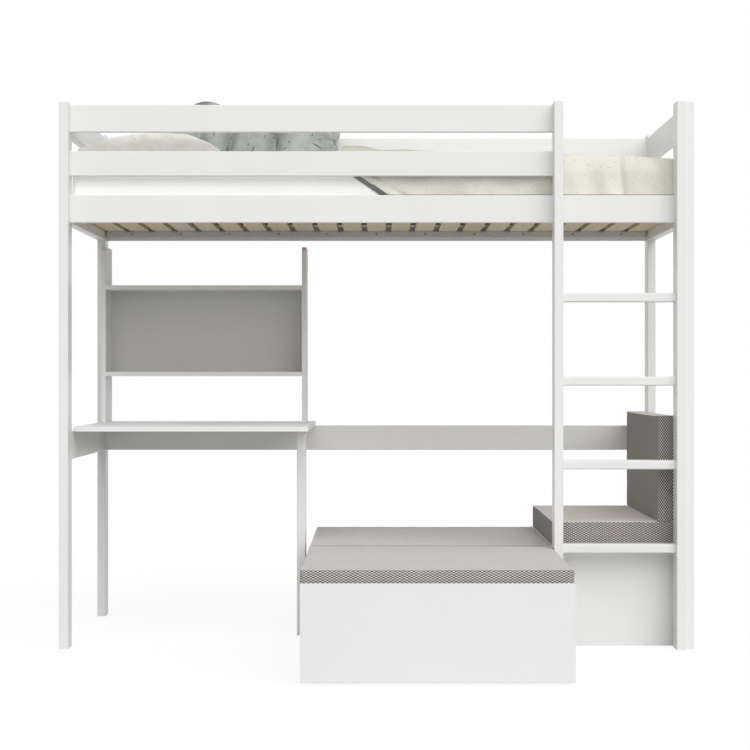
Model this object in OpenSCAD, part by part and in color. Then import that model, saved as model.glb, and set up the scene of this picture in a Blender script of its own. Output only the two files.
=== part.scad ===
// Cabin bed: a high sleeper over a desk and a corner sofa with a pull-out guest bed.
// Every coordinate below is laid out with X = 0 at the middle of the bed, Y = 0 at the
// front face of the posts and Z = 0 on the floor; at_origin() then moves the whole bed
// to the middle of its footprint.

/* [Frame] */
// Length of the bed over its posts
frame_len = 2100; // [1900:10:2300]
// Depth of the bed over its posts
frame_depth = 1037; // [977:10:1177]
// Height of the posts
post_h = 1810; // [1780:5:1900]
// Thickness of the posts, the end rails and the ladder stiles
post_t = 30; // [26:1:38]
// Width of the posts and the ladder stiles
post_w = 88; // [78:1:100]
// Rounding of all the timber edges
edge_r = 2.5; // [1:0.5:4]

/* [Rails] */
// Thickness of the long rails
rail_t = 28; // [22:1:32]
// Set-back of the long rails behind the post faces
rail_inset = 37; // [20:1:45]
// Height of the four rails that carry the bed base
bed_rail_h = 91; // [80:1:110]
// Drop of the bed rails' top edges below the post tops
bed_drop = 305; // [290:1:330]
// Height of the top guard rails
guard_h = 90; // [70:1:100]
// Drop of the front guard rail below the post tops
guard_drop_front = 5; // [0:1:20]
// Drop of the end and back guard rails below the post tops
guard_drop = 10; // [5:1:20]
// Height of the middle guard rail
guard_mid_h = 82; // [60:1:100]
// Gap between the bed rail and the middle guard rail
guard_mid_gap = 64; // [45:1:75]
// Height of the rails at desk level
desk_rail_h = 92; // [70:1:120]
// Height of the top of the desk-level rails above the floor
desk_rail_top = 717; // [700:1:740]
// Length of the tenons on the end rails
tenon_len = 25; // [15:1:35]
// Thickness of those tenons
tenon_t = 12; // [8:1:16]

/* [Ladder] */
// Clear width between the ladder stiles
ladder_clear = 374; // [300:2:400]
// How far the stiles stand in front of the posts
stile_proud = 23; // [10:1:30]
// Number of rungs
rung_count = 4; // [3:1:4]
// Height of the top of the first rung
rung_first = 348; // [300:1:380]
// Rise from one rung to the next
rung_rise = 277; // [250:1:290]
// Thickness of a rung
rung_t = 30; // [24:1:36]
// Depth of a rung, front to back
rung_d = 60; // [45:1:64]
// Set-back of the rungs behind the stile faces
rung_setback = 23; // [5:1:24]
// Rounding of the rungs' edges
rung_r = 4; // [2:0.5:8]
// Depth of the pockets in the stiles that take the rungs
rung_pocket = 8; // [4:1:12]

/* [Bed base] */
// Height and width of the ledges that carry the slats
cleat = 22; // [18:1:26]
// Gap between the ledge top and the top of the bed rails
cleat_drop = 57; // [45:1:65]
// Number of slats
slat_count = 23; // [15:1:24]
// Width of a slat
slat_w = 68; // [50:1:75]
// Thickness of a slat
slat_t = 18; // [12:1:22]
// Free length at each end of the slatted base
slat_end_gap = 7; // [2:1:20]
// Width of the woven tapes over the slats
tape_w = 40; // [20:1:60]
// Thickness of those tapes
tape_t = 1; // [0.6:0.1:2]
// Distance of the tapes from the slat ends
tape_inset = 70; // [40:5:200]

/* [Bedding] */
// Space between the mattress and the head end frame
mattress_head_gap = 11; // [2:1:20]
// Space between the mattress and the foot end frame
mattress_foot_gap = 29; // [4:1:60]
// Space between the mattress and the front rail, for the hanging duvet
mattress_front_gap = 18; // [16:1:40]
// Thickness of the mattress
mattress_h = 133; // [100:1:150]
// Space between the mattress and the back rail
mattress_back_gap = 5; // [2:1:10]
// Rounding of the mattress edges
mattress_edge = 26; // [12:1:34]
// Rise of the mattress at its middle
mattress_crown = 3; // [0:0.5:6]
// Rounding of the mattress corners, seen from above
mattress_corner = 45; // [30:1:70]
// Distance of the duvet's folded end from the head end frame
duvet_from_head = 892; // [860:2:1200]
// Space between the duvet and the foot end frame
duvet_foot_gap = 30; // [20:1:60]
// How far the duvet stops short of the back of the mattress
duvet_rear_gap = 30; // [10:5:120]
// Loft of the duvet on top of the mattress
duvet_loft = 46; // [30:1:60]
// Thickness of the duvet where it hangs inside the front rail
duvet_drop_t = 12; // [8:1:14]
// How far the lower hem of the duvet is drawn back from the folded edge above it
duvet_skew = 165; // [0:5:250]
// Size of the cream pillow along the bed, before it is filled
cream_len = 505; // [400:5:560]
// Size of the cream pillow across the bed, before it is filled
cream_w = 480; // [400:5:560]
// Plumpness of the cream pillow
cream_h = 147; // [110:1:170]
// Length of the green pillow along the bed, before it is filled
green_len = 805; // [500:5:840]
// Height of the green pillow up its slope
green_w = 396; // [300:2:420]
// Plumpness of the green pillow
green_h = 130; // [90:2:140]
// Lean of the green pillow against the back guard rail, from the level
green_lean = 60; // [56:1:66]
// Distance of the green pillow from the left end frame
green_inset = 110; // [40:2:150]
// How far one ear of the green pillow stands up from its top edge
green_ear = 22; // [5:1:30]

/* [Desk] */
// Space between the desktop and the guest bed
desk_gap = 7; // [3:1:60]
// Thickness of the desktop
desk_t = 16; // [12:1:22]
// Set-back of the desktop behind the post faces
desk_setback = 105; // [95:1:200]
// Distance of the desk leg from the right end of the desktop
leg_inset = 17; // [5:1:60]
// Set-back of the desk leg behind the desktop's front edge
leg_setback = 259; // [150:1:400]
// Thickness of the shelf boards
shelf_t = 16; // [12:1:22]
// Distance of the shelf unit from the right end of the desktop
shelf_inset = 30; // [0:1:80]
// Depth of the shelf unit
shelf_d = 184; // [120:1:250]
// Rounding of the shelf unit's top front corners
shelf_nose = 20; // [5:1:60]
// Space between the shelf unit and the ledges of the bed base
shelf_head_gap = 45; // [10:1:120]
// Height of the lower shelf above the desktop
shelf_low = 170; // [100:2:250]
// Drop of the upper shelf's underside below the top of the shelf unit
shelf_top_space = 158; // [80:1:220]

/* [Sofa] */
// Thickness of the sofa boards
board_t = 18; // [15:1:22]
// Set-back of the sofa behind the post faces
sofa_setback = 94; // [92:1:120]
// Height of the fixed seat
seat_h = 333; // [300:1:360]
// Thickness of all the sofa cushions
cushion_h = 84; // [60:1:100]
// Set-back of the seat cushion from the left edge of the seat
seat_cushion_inset = 5; // [1:1:30]
// Set-back of the seat cushion from the rear edge of the seat
seat_cushion_rear_gap = 45; // [5:1:80]
// Space between the back cushion and the rail behind it
back_cushion_gap = 4; // [2:1:60]
// Thickness of the back cushion
back_cushion_t = 80; // [60:1:100]
// Height of the back cushion
back_cushion_h = 355; // [250:1:450]
// Rise of the cushions at their middle
cushion_crown = 3; // [0:0.5:6]
// How far the cushion sides draw in between their corners
cushion_pull = 2; // [0:0.5:5]
// Rounding of the cushion edges
cushion_edge = 7; // [5:1:18]

/* [Guest bed] */
// Set-back of the guest mattresses from the sides of the pull-out
guest_mattress_inset = 3; // [1:1:20]
// Space between the rear guest mattress and the rear edge of the sofa
guest_rear_gap = 36; // [30:1:80]
// Space between the front guest mattress and the pull-out's panel
guest_front_gap = 24; // [20:1:60]
// Height of the top of the guest bed's slats
guest_slat_top = 252; // [220:1:270]
// Thickness of the guest bed's slats
guest_slat_t = 16; // [12:1:20]
// Width of the guest bed's slats
guest_slat_w = 58; // [40:1:64]
// Depth of the pockets in the pull-out's panel that take the moving slats
slat_housing = 8; // [4:1:12]
// Number of guest bed slats that stay, one less than those that pull out
guest_fixed_count = 5; // [4:1:5]
// Width of the pull-out's front panel
drawer_w = 806; // [700:1:808]
// Height of the top of that panel
drawer_top = 297; // [280:1:310]
// Height of the glides under the pull-out
glide_h = 8; // [5:1:12]
// Radius of the glides
glide_r = 12; // [9:1:12]
// Radius of the necks of the glides
glide_neck_r = 6; // [4:1:6]
// Space between the pull-out's side boards and the fixed cross rail above them
side_pass_gap = 6; // [3:1:30]
// Height of the cross rails under the guest bed's slats
cross_rail_h = 46; // [35:1:48]

/* [Fasteners] */
// Radius of the frame bolts
bolt_r = 3; // [2.5:0.5:4]
// Radius of the frame bolts' heads
bolt_head_r = 7; // [5:0.5:9]
// Thickness of the frame bolts' heads
bolt_head_t = 4; // [3:0.5:6]
// Length of the frame bolts under the head
bolt_len = 62; // [50:1:90]
// Number of screws in each slat ledge
screw_count = 11; // [6:1:14]
// Radius of the ledge screws' heads
screw_head_r = 4; // [3:0.5:6]
// Thickness of the ledge screws' heads
screw_head_t = 1.5; // [1:0.5:3]

/* [Hidden] */

white = [0.93, 0.93, 0.92];
board_grey = [0.72, 0.72, 0.71];
ply = [0.80, 0.69, 0.52];
steel = [0.62, 0.62, 0.62];
linen_cream = [0.88, 0.86, 0.79];
linen_white = [0.96, 0.96, 0.95];
sage = [0.60, 0.65, 0.60];
tweed = [0.70, 0.69, 0.67];
plastic_grey = [0.45, 0.45, 0.45];

board_r = 1;                        // rounding of the thin boards' edges
edge_steps = 3;                     // flats that make up one rounded edge
soft_gap = 0.3;                     // clearance of the soft pieces from their neighbours
bore_play = 0.2;                    // clearance of a bolt in its hole, on the radius
past = 1;                           // how far a cut runs past the face it opens
$fn = 32;

half = frame_len / 2;
inner = half - post_t;              // inside faces of the end frames
rail_front = rail_inset;            // front face of the front rails
rail_front_rear = rail_front + rail_t;
rail_back = frame_depth - rail_inset - rail_t;
rail_back_rear = rail_back + rail_t;
bed_rail_top = post_h - bed_drop;
bed_rail_z = bed_rail_top - bed_rail_h;
guard_front_z = post_h - guard_drop_front - guard_h;
guard_z = post_h - guard_drop - guard_h;
guard_mid_z = bed_rail_top + guard_mid_gap;
desk_rail_z = desk_rail_top - desk_rail_h;

stile_right = inner - post_t;       // left face of the right stile
stile_left = stile_right - ladder_clear - post_t;
stile_front = -stile_proud;
stile_back = stile_front + post_w;
rung_front = stile_front + rung_setback;

slat_z = bed_rail_top - cleat_drop;
slat_top = slat_z + slat_t;
slat_r = 2;                         // rounding of the slats' edges
slat_play = 2;                      // room of a slat between the rails, and in its notch
slat_front = rail_front_rear + slat_play;
slat_back = rail_back - slat_play;
slat_span = 2 * (inner - slat_end_gap);
slat_pitch = (slat_span - slat_w) / (slat_count - 1);

mattress_z = slat_top + tape_t + soft_gap;
mattress_top = mattress_z + mattress_h;
mattress_len = 2 * inner - mattress_head_gap - mattress_foot_gap;
mattress_right = inner - mattress_foot_gap;
mattress_back = rail_back - mattress_back_gap;
mattress_front = rail_front_rear + mattress_front_gap;
mattress_w = mattress_back - mattress_front;

wall_gap = 6;                       // the sofa's rear face stands just off the wall
sofa_back = frame_depth - wall_gap;
seat_right = inner;                 // the seat is fixed against the right end frame
seat_edge = 2;                      // how far the seat shows to the left of the stile
seat_left = stile_left - seat_edge;
seat_cushion_play = 2;              // room between the seat cushion and the end frame
seat_cushion_right = seat_right - seat_cushion_play;
back_cushion_right = seat_right - soft_gap;     // leans on the end frame
seat_cushion_len = seat_cushion_right - seat_left - seat_cushion_inset;
seat_cushion_d = sofa_back - seat_cushion_rear_gap - sofa_setback;
back_cushion_d = rail_back - back_cushion_gap - sofa_setback;
seat_cushion_top = seat_h + soft_gap + cushion_h;

drawer_play = 2;                    // side play between the seat and the pull-out
drawer_right = seat_left - drawer_play;
drawer_left = drawer_right - drawer_w;
cross_rear = sofa_setback + board_t;            // fixed cross rail, behind the closed panel
stop_gap = 2;                                   // pull-out's rail stops behind the fixed one
drawer_cross_front = cross_rear + stop_gap;
drawer_cross_rear = drawer_cross_front + board_t;
panel_gap = 1;                                  // closed panel's gap to the boards behind it
drawer_closed = sofa_setback - panel_gap - board_t;     // panel's outer face when pushed in
travel = sofa_back - board_t - panel_gap - drawer_cross_rear;
drawer_reach = travel - drawer_closed;          // panel's outer face when pulled out
panel_front = -drawer_reach;
panel_back = panel_front + board_t;
panel_overhang = 1;                             // panel shows past the fixed side board
guest_left = drawer_left + panel_overhang;
guest_board_right = guest_left + board_t;
runner_gap = 3;                                 // side boards of the pull-out run clear
drawer_side_x0 = guest_board_right + runner_gap;
drawer_side_x1 = drawer_right - runner_gap;
cross_top = guest_slat_top - guest_slat_t;
drawer_side_top = cross_top - cross_rail_h - side_pass_gap;
slat_notch = 4;                                 // notches that clear the other set of slats
comb_count = 2 * guest_fixed_count + 1;
comb_margin = 3;                                // outer slats stop short of the side boards
comb_x0 = drawer_side_x0 + comb_margin;
comb_span = drawer_side_x1 - comb_margin - comb_x0;
comb_pitch = (comb_span - guest_slat_w) / (comb_count - 1);

seam_y = sofa_setback;                          // seam between the two guest mattresses
guest_mattress_x0 = drawer_left + guest_mattress_inset;
guest_w = drawer_w - 2 * guest_mattress_inset;
guest_rear_d = sofa_back - guest_rear_gap - seam_y - soft_gap;
guest_front_d = seam_y - soft_gap - panel_back - guest_front_gap;
guest_mattress_z = guest_slat_top + soft_gap;

desk_play = 2;                      // room between the desktop and the left end frame
desk_left = -inner + desk_play;
desk_right = guest_left - desk_gap;
desk_z = desk_rail_top;
desk_top = desk_z + desk_t;
desk_back = rail_back_rear;
leg_right = desk_right - leg_inset;
leg_left = leg_right - post_t;
leg_front = desk_setback + leg_setback;
shelf_step = 1;                     // shelf unit stands back from the desktop's edges
shelf_left = desk_left + shelf_step;
shelf_right = desk_right - shelf_inset;
shelf_h = slat_z - cleat - shelf_head_gap - desk_top;
shelf_high = shelf_h - shelf_top_space;
shelf_back_y = desk_back - shelf_step;
shelf_front_y = shelf_back_y - shelf_d;

y_origin = (frame_depth - drawer_reach) / 2;

module at_origin() translate([0, -y_origin, 0]) children();

// ---- timber ---------------------------------------------------------------------------

// Outline of a bar w by h with its four edges rounded by r in small flats
function bar_outline(w, h, r) = [
    for (q = [0:3], s = [0:edge_steps])
        let (a = 90 * (q + s / edge_steps), cx = (q == 0 || q == 3) ? w - r : r,
             cy = q < 2 ? h - r : r)
        [cx + r * cos(a), cy + r * sin(a)]];

// Bars between two corners, with the edges along their length rounded
module bar_x(lo, hi, r = edge_r)
    translate(lo) rotate([90, 0, 90])
        linear_extrude(hi.x - lo.x) polygon(bar_outline(hi.y - lo.y, hi.z - lo.z, r));

module bar_y(lo, hi, r = edge_r)
    translate([lo.x, hi.y, lo.z]) rotate([90, 0, 0])
        linear_extrude(hi.y - lo.y) polygon(bar_outline(hi.x - lo.x, hi.z - lo.z, r));

module bar_z(lo, hi, r = edge_r)
    translate(lo)
        linear_extrude(hi.z - lo.z) polygon(bar_outline(hi.x - lo.x, hi.y - lo.y, r));

module block(lo, hi) translate(lo) cube(hi - lo);

// ---- frame ----------------------------------------------------------------------------

bolt_share = 0.27;                  // bolts stand in from a rail's edges by this share

// Heights of the two bolts through a rail that starts at z and is h high
function bolt_heights(z, h) = [z + bolt_share * h, z + (1 - bolt_share) * h];

front_bolt_z_left = concat(bolt_heights(bed_rail_z, bed_rail_h),
    bolt_heights(guard_mid_z, guard_mid_h), bolt_heights(guard_front_z, guard_h));
front_bolt_z_right = bolt_heights(bed_rail_z, bed_rail_h);
back_bolt_z = concat(bolt_heights(desk_rail_z, desk_rail_h),
    bolt_heights(bed_rail_z, bed_rail_h), bolt_heights(guard_z, guard_h));
rail_front_mid = rail_front + rail_t / 2;
rail_back_mid = rail_back + rail_t / 2;

// One bolt that enters the end frame at x = side * half and points inwards
module bolt(side, y, z, play = 0)
    translate([side * (half - bolt_head_t), y, z]) rotate([0, side * 90, 0]) {
        cylinder(r = bolt_head_r + play, h = bolt_head_t + (play > 0 ? past : 0));
        translate([0, 0, -bolt_len]) cylinder(r = bolt_r + play, h = bolt_len + bolt_head_t / 2);
    }

module end_bolts(side, play = 0) {
    for (z = side < 0 ? front_bolt_z_left : front_bolt_z_right)
        bolt(side, rail_front_mid, z, play);
    for (z = back_bolt_z) bolt(side, rail_back_mid, z, play);
}

end_rail_levels = [[guard_z, guard_h], [bed_rail_z, bed_rail_h], [desk_rail_z, desk_rail_h]];
tenon_shoulder = 10;                // how far a tenon is narrower than its rail, each edge

// Tenon of an end rail: the same block cuts the mortise in the post
module tenon(side, level, y0, y1) {
    x_mid = side * (half - post_t / 2);
    block([x_mid - tenon_t / 2, y0, level[0] + tenon_shoulder],
        [x_mid + tenon_t / 2, y1, level[0] + level[1] - tenon_shoulder]);
}

module post(side, y0, front) {
    x0 = side < 0 ? -half : half - post_t;
    color(white) difference() {
        bar_z([x0, y0, 0], [x0 + post_t, y0 + post_w, post_h]);
        for (level = end_rail_levels)
            if (front) tenon(side, level, y0 + post_w - tenon_len, y0 + post_w + past);
            else tenon(side, level, y0 - past, y0 + tenon_len);
        end_bolts(side, bore_play);
    }
}

module post_front_left() at_origin() post(-1, 0, true);
module post_front_right() at_origin() post(1, 0, true);
module post_back_left() at_origin() post(-1, frame_depth - post_w, false);
module post_back_right() at_origin() post(1, frame_depth - post_w, false);

module end_rail(side, level) {
    x0 = side < 0 ? -half : half - post_t;
    y0 = post_w;
    y1 = frame_depth - post_w;
    color(white) {
        bar_y([x0, y0, level[0]], [x0 + post_t, y1, level[0] + level[1]]);
        tenon(side, level, y0 - tenon_len, y0 + past);
        tenon(side, level, y1 - past, y1 + tenon_len);
    }
}

module end_rail_left_top() at_origin() end_rail(-1, end_rail_levels[0]);
module end_rail_left_bed() at_origin() end_rail(-1, end_rail_levels[1]);
module end_rail_left_desk() at_origin() end_rail(-1, end_rail_levels[2]);
module end_rail_right_top() at_origin() end_rail(1, end_rail_levels[0]);
module end_rail_right_bed() at_origin() end_rail(1, end_rail_levels[1]);
module end_rail_right_desk() at_origin() end_rail(1, end_rail_levels[2]);

// A long rail between the end frames, bored for the bolts that hold its ends
module long_rail(x1, y0, z, h)
    color(white) difference() {
        bar_x([-inner, y0, z], [x1, y0 + rail_t, z + h]);
        end_bolts(-1, bore_play);
        end_bolts(1, bore_play);
    }

module guard_front_top() at_origin() long_rail(stile_left, rail_front, guard_front_z, guard_h);
module guard_front_middle()
    at_origin() long_rail(stile_left, rail_front, guard_mid_z, guard_mid_h);
module bed_rail_front() at_origin() long_rail(inner, rail_front, bed_rail_z, bed_rail_h);
module guard_back() at_origin() long_rail(inner, rail_back, guard_z, guard_h);
module bed_rail_back() at_origin() long_rail(inner, rail_back, bed_rail_z, bed_rail_h);
module desk_rail_back() at_origin() long_rail(inner, rail_back, desk_rail_z, desk_rail_h);

socket_r = bolt_head_r * 0.45;      // hexagon socket in a bolt's head

module frame_bolts() at_origin() color(steel) {
    for (side = [-1, 1]) difference() {
        end_bolts(side);
        for (y = [rail_front_mid, rail_back_mid])
            for (z = concat(front_bolt_z_left, back_bolt_z))
                translate([side * (half - bolt_head_t / 2), y, z]) rotate([0, side * 90, 0])
                    cylinder(r = socket_r, h = bolt_head_t, $fn = 6);
    }
}

// ---- ladder ---------------------------------------------------------------------------

function rung_top(i) = rung_first + rung_rise * (i - 1);

module rung_block(i, x0, x1)
    bar_x([x0, rung_front, rung_top(i) - rung_t], [x1, rung_front + rung_d, rung_top(i)], rung_r);

// A full-height stile, pocketed for the rungs and notched behind for the bed rail
module stile(x0)
    color(white) difference() {
        bar_z([x0, stile_front, 0], [x0 + post_t, stile_back, post_h]);
        for (i = [1:rung_count])
            rung_block(i, stile_left + post_t - rung_pocket, stile_right + rung_pocket);
        block([x0 - past, rail_front, bed_rail_z],
            [x0 + post_t + past, stile_back + past, bed_rail_top]);
    }

module ladder_stile_left() at_origin() stile(stile_left);
module ladder_stile_right() at_origin() stile(stile_right);

module rung(i)
    if (i <= rung_count) at_origin() color(white)
        rung_block(i, stile_left + post_t - rung_pocket, stile_right + rung_pocket);

module rung_1() rung(1);
module rung_2() rung(2);
module rung_3() rung(3);
module rung_4() rung(4);

// ---- bed base -------------------------------------------------------------------------

ledge_x = inner - slat_end_gap;
ledge_r = 1.5;                      // rounding of the ledges' edges

module slat_ledge(y0)
    color(white) bar_x([-ledge_x, y0, slat_z - cleat], [ledge_x, y0 + cleat, slat_z], ledge_r);

module slat_ledge_front() at_origin() slat_ledge(rail_front_rear);
module slat_ledge_back() at_origin() slat_ledge(rail_back - cleat);

// Screw heads along the inner faces of the two ledges
module ledge_screws() at_origin() color(steel)
    for (i = [0:screw_count - 1]) {
        x = -ledge_x + 2 * ledge_x * (i + 0.5) / screw_count;
        z = slat_z - cleat / 2;
        translate([x, rail_front_rear + cleat, z]) rotate([-90, 0, 0])
            cylinder(r = screw_head_r, h = screw_head_t, $fn = 16);
        translate([x, rail_back - cleat, z]) rotate([90, 0, 0])
            cylinder(r = screw_head_r, h = screw_head_t, $fn = 16);
    }

module bed_slats() at_origin() color(ply)
    for (i = [0:slat_count - 1]) {
        x0 = -slat_span / 2 + i * slat_pitch;
        bar_y([x0, slat_front, slat_z], [x0 + slat_w, slat_back, slat_top], slat_r);
    }

module slat_tapes() at_origin() color(linen_white)
    for (y = [slat_front + tape_inset, slat_back - tape_inset - tape_w])
        block([-slat_span / 2, y, slat_top], [slat_span / 2, y + tape_w, slat_top + tape_t]);

// ---- soft pieces ----------------------------------------------------------------------

corner_steps = 4;
side_steps = 4;
cushion_corner = 22;                // rounding of the cushions' corners, seen from above
crown_tip = 8;                      // half width of the smallest ring of a crown

// A level ring of a cushion: a rounded rectangle whose sides draw in by pull
function ring(hx, hy, r, pull, z) = [
    for (q = [0:3])
        let (sx = (q == 0 || q == 3) ? 1 : -1, sy = q < 2 ? 1 : -1,
             tx = q < 2 ? -1 : 1, c = [sx * (hx - r), sy * (hy - r)],
             along = (q % 2 == 0) ? [-sx, 0] : [0, -sy],
             inward = (q % 2 == 0) ? [0, -sy] : [-sx, 0],
             side = (q % 2 == 0) ? 2 * (hx - r) : 2 * (hy - r),
             last = [c.x + r * cos(90 * (q + 1)), c.y + r * sin(90 * (q + 1))])
        for (p = concat(
            [for (s = [0:corner_steps]) let (a = 90 * (q + s / corner_steps))
                [c.x + r * cos(a), c.y + r * sin(a), z]],
            [for (s = [1:side_steps - 1]) let (f = s / side_steps,
                g = last + along * side * f + inward * pull * sin(180 * f))
                [g.x, g.y, z]])) p];

// A closed skin over a stack of rings, with a point in the middle of each end
module loft(rings) {
    n = len(rings[0]);
    last = len(rings) - 1;
    bottom = [0, 0, rings[0][0].z];
    top = [0, 0, rings[last][0].z];
    mid_b = len(rings) * n;
    points = concat([for (g = rings) for (p = g) p], [bottom, top]);
    faces = concat(
        [for (i = [0:n - 1]) [mid_b, i, (i + 1) % n]],
        [for (k = [0:last - 1], i = [0:n - 1])
            [k * n + i, (k + 1) * n + i, (k + 1) * n + (i + 1) % n]],
        [for (k = [0:last - 1], i = [0:n - 1])
            [k * n + i, (k + 1) * n + (i + 1) % n, k * n + (i + 1) % n]],
        [for (i = [0:n - 1]) [mid_b + 1, last * n + (i + 1) % n, last * n + i]]);
    polyhedron(points, faces);
}

// A boxed cushion w by d by h: rounded edges, crowned top and sides drawn in to the seams.
// Its lower face is flat where it rests; the highest point of the crown is at h.
module boxed_cushion(w, d, h, edge, crown, pull, corner = cushion_corner) {
    shoulder = h - crown;
    edge_angles = [0, 30, 60, 90];
    rings = concat(
        [ring(w / 4, d / 4, corner / 2, 0, 0)],
        [for (a = edge_angles) let (inset = edge * (1 - sin(a)))
            ring(w / 2 - inset, d / 2 - inset, corner, pull * a / 180, edge * (1 - cos(a)))],
        [ring(w / 2 - pull / 2, d / 2 - pull / 2, corner, 2 * pull, shoulder / 2)],
        [for (a = [90, 60, 30, 0]) let (inset = edge * (1 - sin(a)))
            ring(w / 2 - inset, d / 2 - inset, corner, pull * a / 180,
                shoulder - edge * (1 - cos(a)))],
        [for (t = [0.88, 0.66, 0.36]) ring(t * (w / 2 - edge), t * (d / 2 - edge), t * corner, 0,
            shoulder + crown * cos(90 * t))],
        [ring(crown_tip, crown_tip, crown_tip / 2, 0, h)]);
    loft(rings);
}

module bed_mattress() at_origin() color(linen_white)
    translate([mattress_right - mattress_len / 2, mattress_front + mattress_w / 2, mattress_z])
        boxed_cushion(mattress_len, mattress_w, mattress_h, mattress_edge, mattress_crown,
            cushion_pull, mattress_corner);

crown_fall = 0.55;                  // share of the crown lost under the back cushion

module seat_cushion() at_origin() color(tweed)
    translate([seat_cushion_right - seat_cushion_len / 2, sofa_setback + seat_cushion_d / 2,
        seat_h + soft_gap])
        boxed_cushion(seat_cushion_len, seat_cushion_d, cushion_h, cushion_edge,
            cushion_crown, cushion_pull);

// Stands on the seat cushion, where its crown has fallen away, against the right end frame
module back_cushion() at_origin() color(tweed)
    translate([back_cushion_right, sofa_setback + back_cushion_d / 2,
        seat_cushion_top - crown_fall * cushion_crown + soft_gap + back_cushion_h / 2])
        rotate([0, -90, 0])
            boxed_cushion(back_cushion_h, back_cushion_d, back_cushion_t, cushion_edge,
                cushion_crown, cushion_pull);

module guest_mattress_rear() at_origin() color(tweed)
    translate([guest_mattress_x0 + guest_w / 2, seam_y + soft_gap + guest_rear_d / 2,
        guest_mattress_z])
        boxed_cushion(guest_w, guest_rear_d, cushion_h, cushion_edge, cushion_crown, cushion_pull);

module guest_mattress_front() at_origin() color(tweed)
    translate([guest_mattress_x0 + guest_w / 2, seam_y - soft_gap - guest_front_d / 2,
        guest_mattress_z])
        boxed_cushion(guest_w, guest_front_d, cushion_h, cushion_edge, cushion_crown, cushion_pull);

ear_w = 60;                         // half width of a pillow's ear
ear_share = 0.154;                  // place of the ear left of the middle, of the length

// Half thickness of a pillow h thick, at t from its middle to its seam
function swell(h, t) = h / 2 * pow(1 - pow(t, 2.4), 0.62);

// Outline of a pillow: pointed corners, with edges that draw in between them
function pillow_ring(hx, hy, t, z, n = 36) = [
    for (i = [0:n - 1])
        let (a = 360 * i / n, m = max(abs(cos(a)), abs(sin(a))), u = cos(a) / m, v = sin(a) / m,
             round_off = 1 - 0.10 * pow(abs(u * v), 3))
        [t * hx * u * (1 - 0.07 * (1 - v * v)) * round_off,
         t * hy * v * (1 - 0.07 * (1 - u * u)) * round_off,
         z * (1 + 0.10 * t * cos(4 * a))]];

// A filled pillow, thickest in the middle and pinched to a seam all round. An ear is a
// stretch of one long edge, around ear_x, that stands up from the rest.
module pillow(w, d, h, ear = 0, ear_x = 0) {
    steps = [0.1, 0.3, 0.5, 0.68, 0.82, 0.92, 0.98];
    function eared(g) = [for (p = g)
        [p.x, p.y + ear * exp(-pow((p.x - ear_x) / ear_w, 2)) * pow(max(0, 2 * p.y / d), 3),
         p.z]];
    rings = concat(
        [for (t = steps) pillow_ring(w / 2, d / 2, t, -swell(h, t))],
        [pillow_ring(w / 2, d / 2, 1, 0)],
        [for (k = [len(steps) - 1:-1:0])
            pillow_ring(w / 2, d / 2, steps[k], swell(h, steps[k]))]);
    loft([for (g = rings) eared(g)]);
}

// Lies flat, its belly 0.75% below its nominal thickness, where 63% of the crown is gone
cream_end_gap = 3;                  // from the head end frame
cream_front_gap = 12;               // from the front edge of the mattress
cream_left = -inner + cream_end_gap;
cream_front = mattress_front + cream_front_gap;
cream_z = mattress_top - 0.63 * mattress_crown + soft_gap + 1.0075 * cream_h / 2;
module pillow_cream() at_origin() color(linen_cream)
    translate([cream_left + cream_len / 2, cream_front + cream_w / 2, cream_z])
        pillow(cream_len, cream_w, cream_h);

// Stands on the mattress and leans back on the guard rail, with one ear of its top edge up.
// lean_step finds how far its middle stands in front of the rail, from a first estimate.
green_rise = 0.938 * green_w / 2 * sin(green_lean);
green_z = mattress_top + green_rise;
guard_over = guard_z + guard_h - green_z;
function lean_step(dy) =
    let (t = (dy * cos(green_lean) + guard_over * sin(green_lean)) / (green_w / 2))
    (swell(green_h, t) * (1 + 0.1 * t) + guard_over * cos(green_lean)) / sin(green_lean)
    - 0.8 * edge_r;
green_y = rail_back - lean_step(lean_step(lean_step(green_h)));
module pillow_green() at_origin() color(sage)
    translate([-inner + green_inset + green_len / 2, green_y, green_z])
        rotate([green_lean, 0, 0])
            pillow(green_len, green_w, green_h, ear = green_ear, ear_x = -green_len * ear_share);

// Duvet: one sheet that hangs inside the front rail, turns over the mattress edge and lies
// on top, lofted, with its main folds and a thicker roll where its near end is folded back.
duvet_across = 16;                  // steps from the hanging hem to the rear edge
duvet_along = 30;                   // steps along the bed
duvet_right = inner - duvet_foot_gap;
duvet_left = -inner + duvet_from_head;
hem_gap = 4;                        // the lower hem ends just above the bed rail
duvet_hem = bed_rail_top + hem_gap;
duvet_under = mattress_top + soft_gap;
duvet_inside = mattress_front - soft_gap;
duvet_rear = mattress_back - duvet_rear_gap;
duvet_thin = 6;                     // thickness at the edges
turn_ease = 6;                      // the bend is tighter than the mattress edge by this
turn_r = mattress_edge - turn_ease; // bend over the mattress edge
hang_share = 0.25;                  // share of the steps in the hanging part
turn_share = 0.4;                   // share of the steps down to the end of the bend
flap_rise = 0.35;                   // extra loft where the end is turned back
flap_share = 0.25;                  // share of the length that is turned back
flap_fade = 0.1;                    // share over which that extra loft dies out
curl_rise = 0.4;                    // further loft of the curled fold at the very end
curl_share = 0.05;                  // share of the length that the curl takes
end_angle = 11;                     // blunt ends start at this angle of a quarter wave
near_rate = 4000;                   // how fast the loft rises from the folded end
far_rate = 720;                     // and from the foot end
rear_share = 0.9;                   // the loft falls to the rear edge from here
rear_rate = 760;
wave_long = 8;                      // height of the long folds
wave_short = 5;                     // height of the short folds
wave_long_pitch = 580;
wave_short_pitch = 275;
wave_long_shift = 90;               // where the folds start, as angles
wave_short_shift = 70;
wave_sway = 25;                     // how far the long folds sway across the bed

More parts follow.
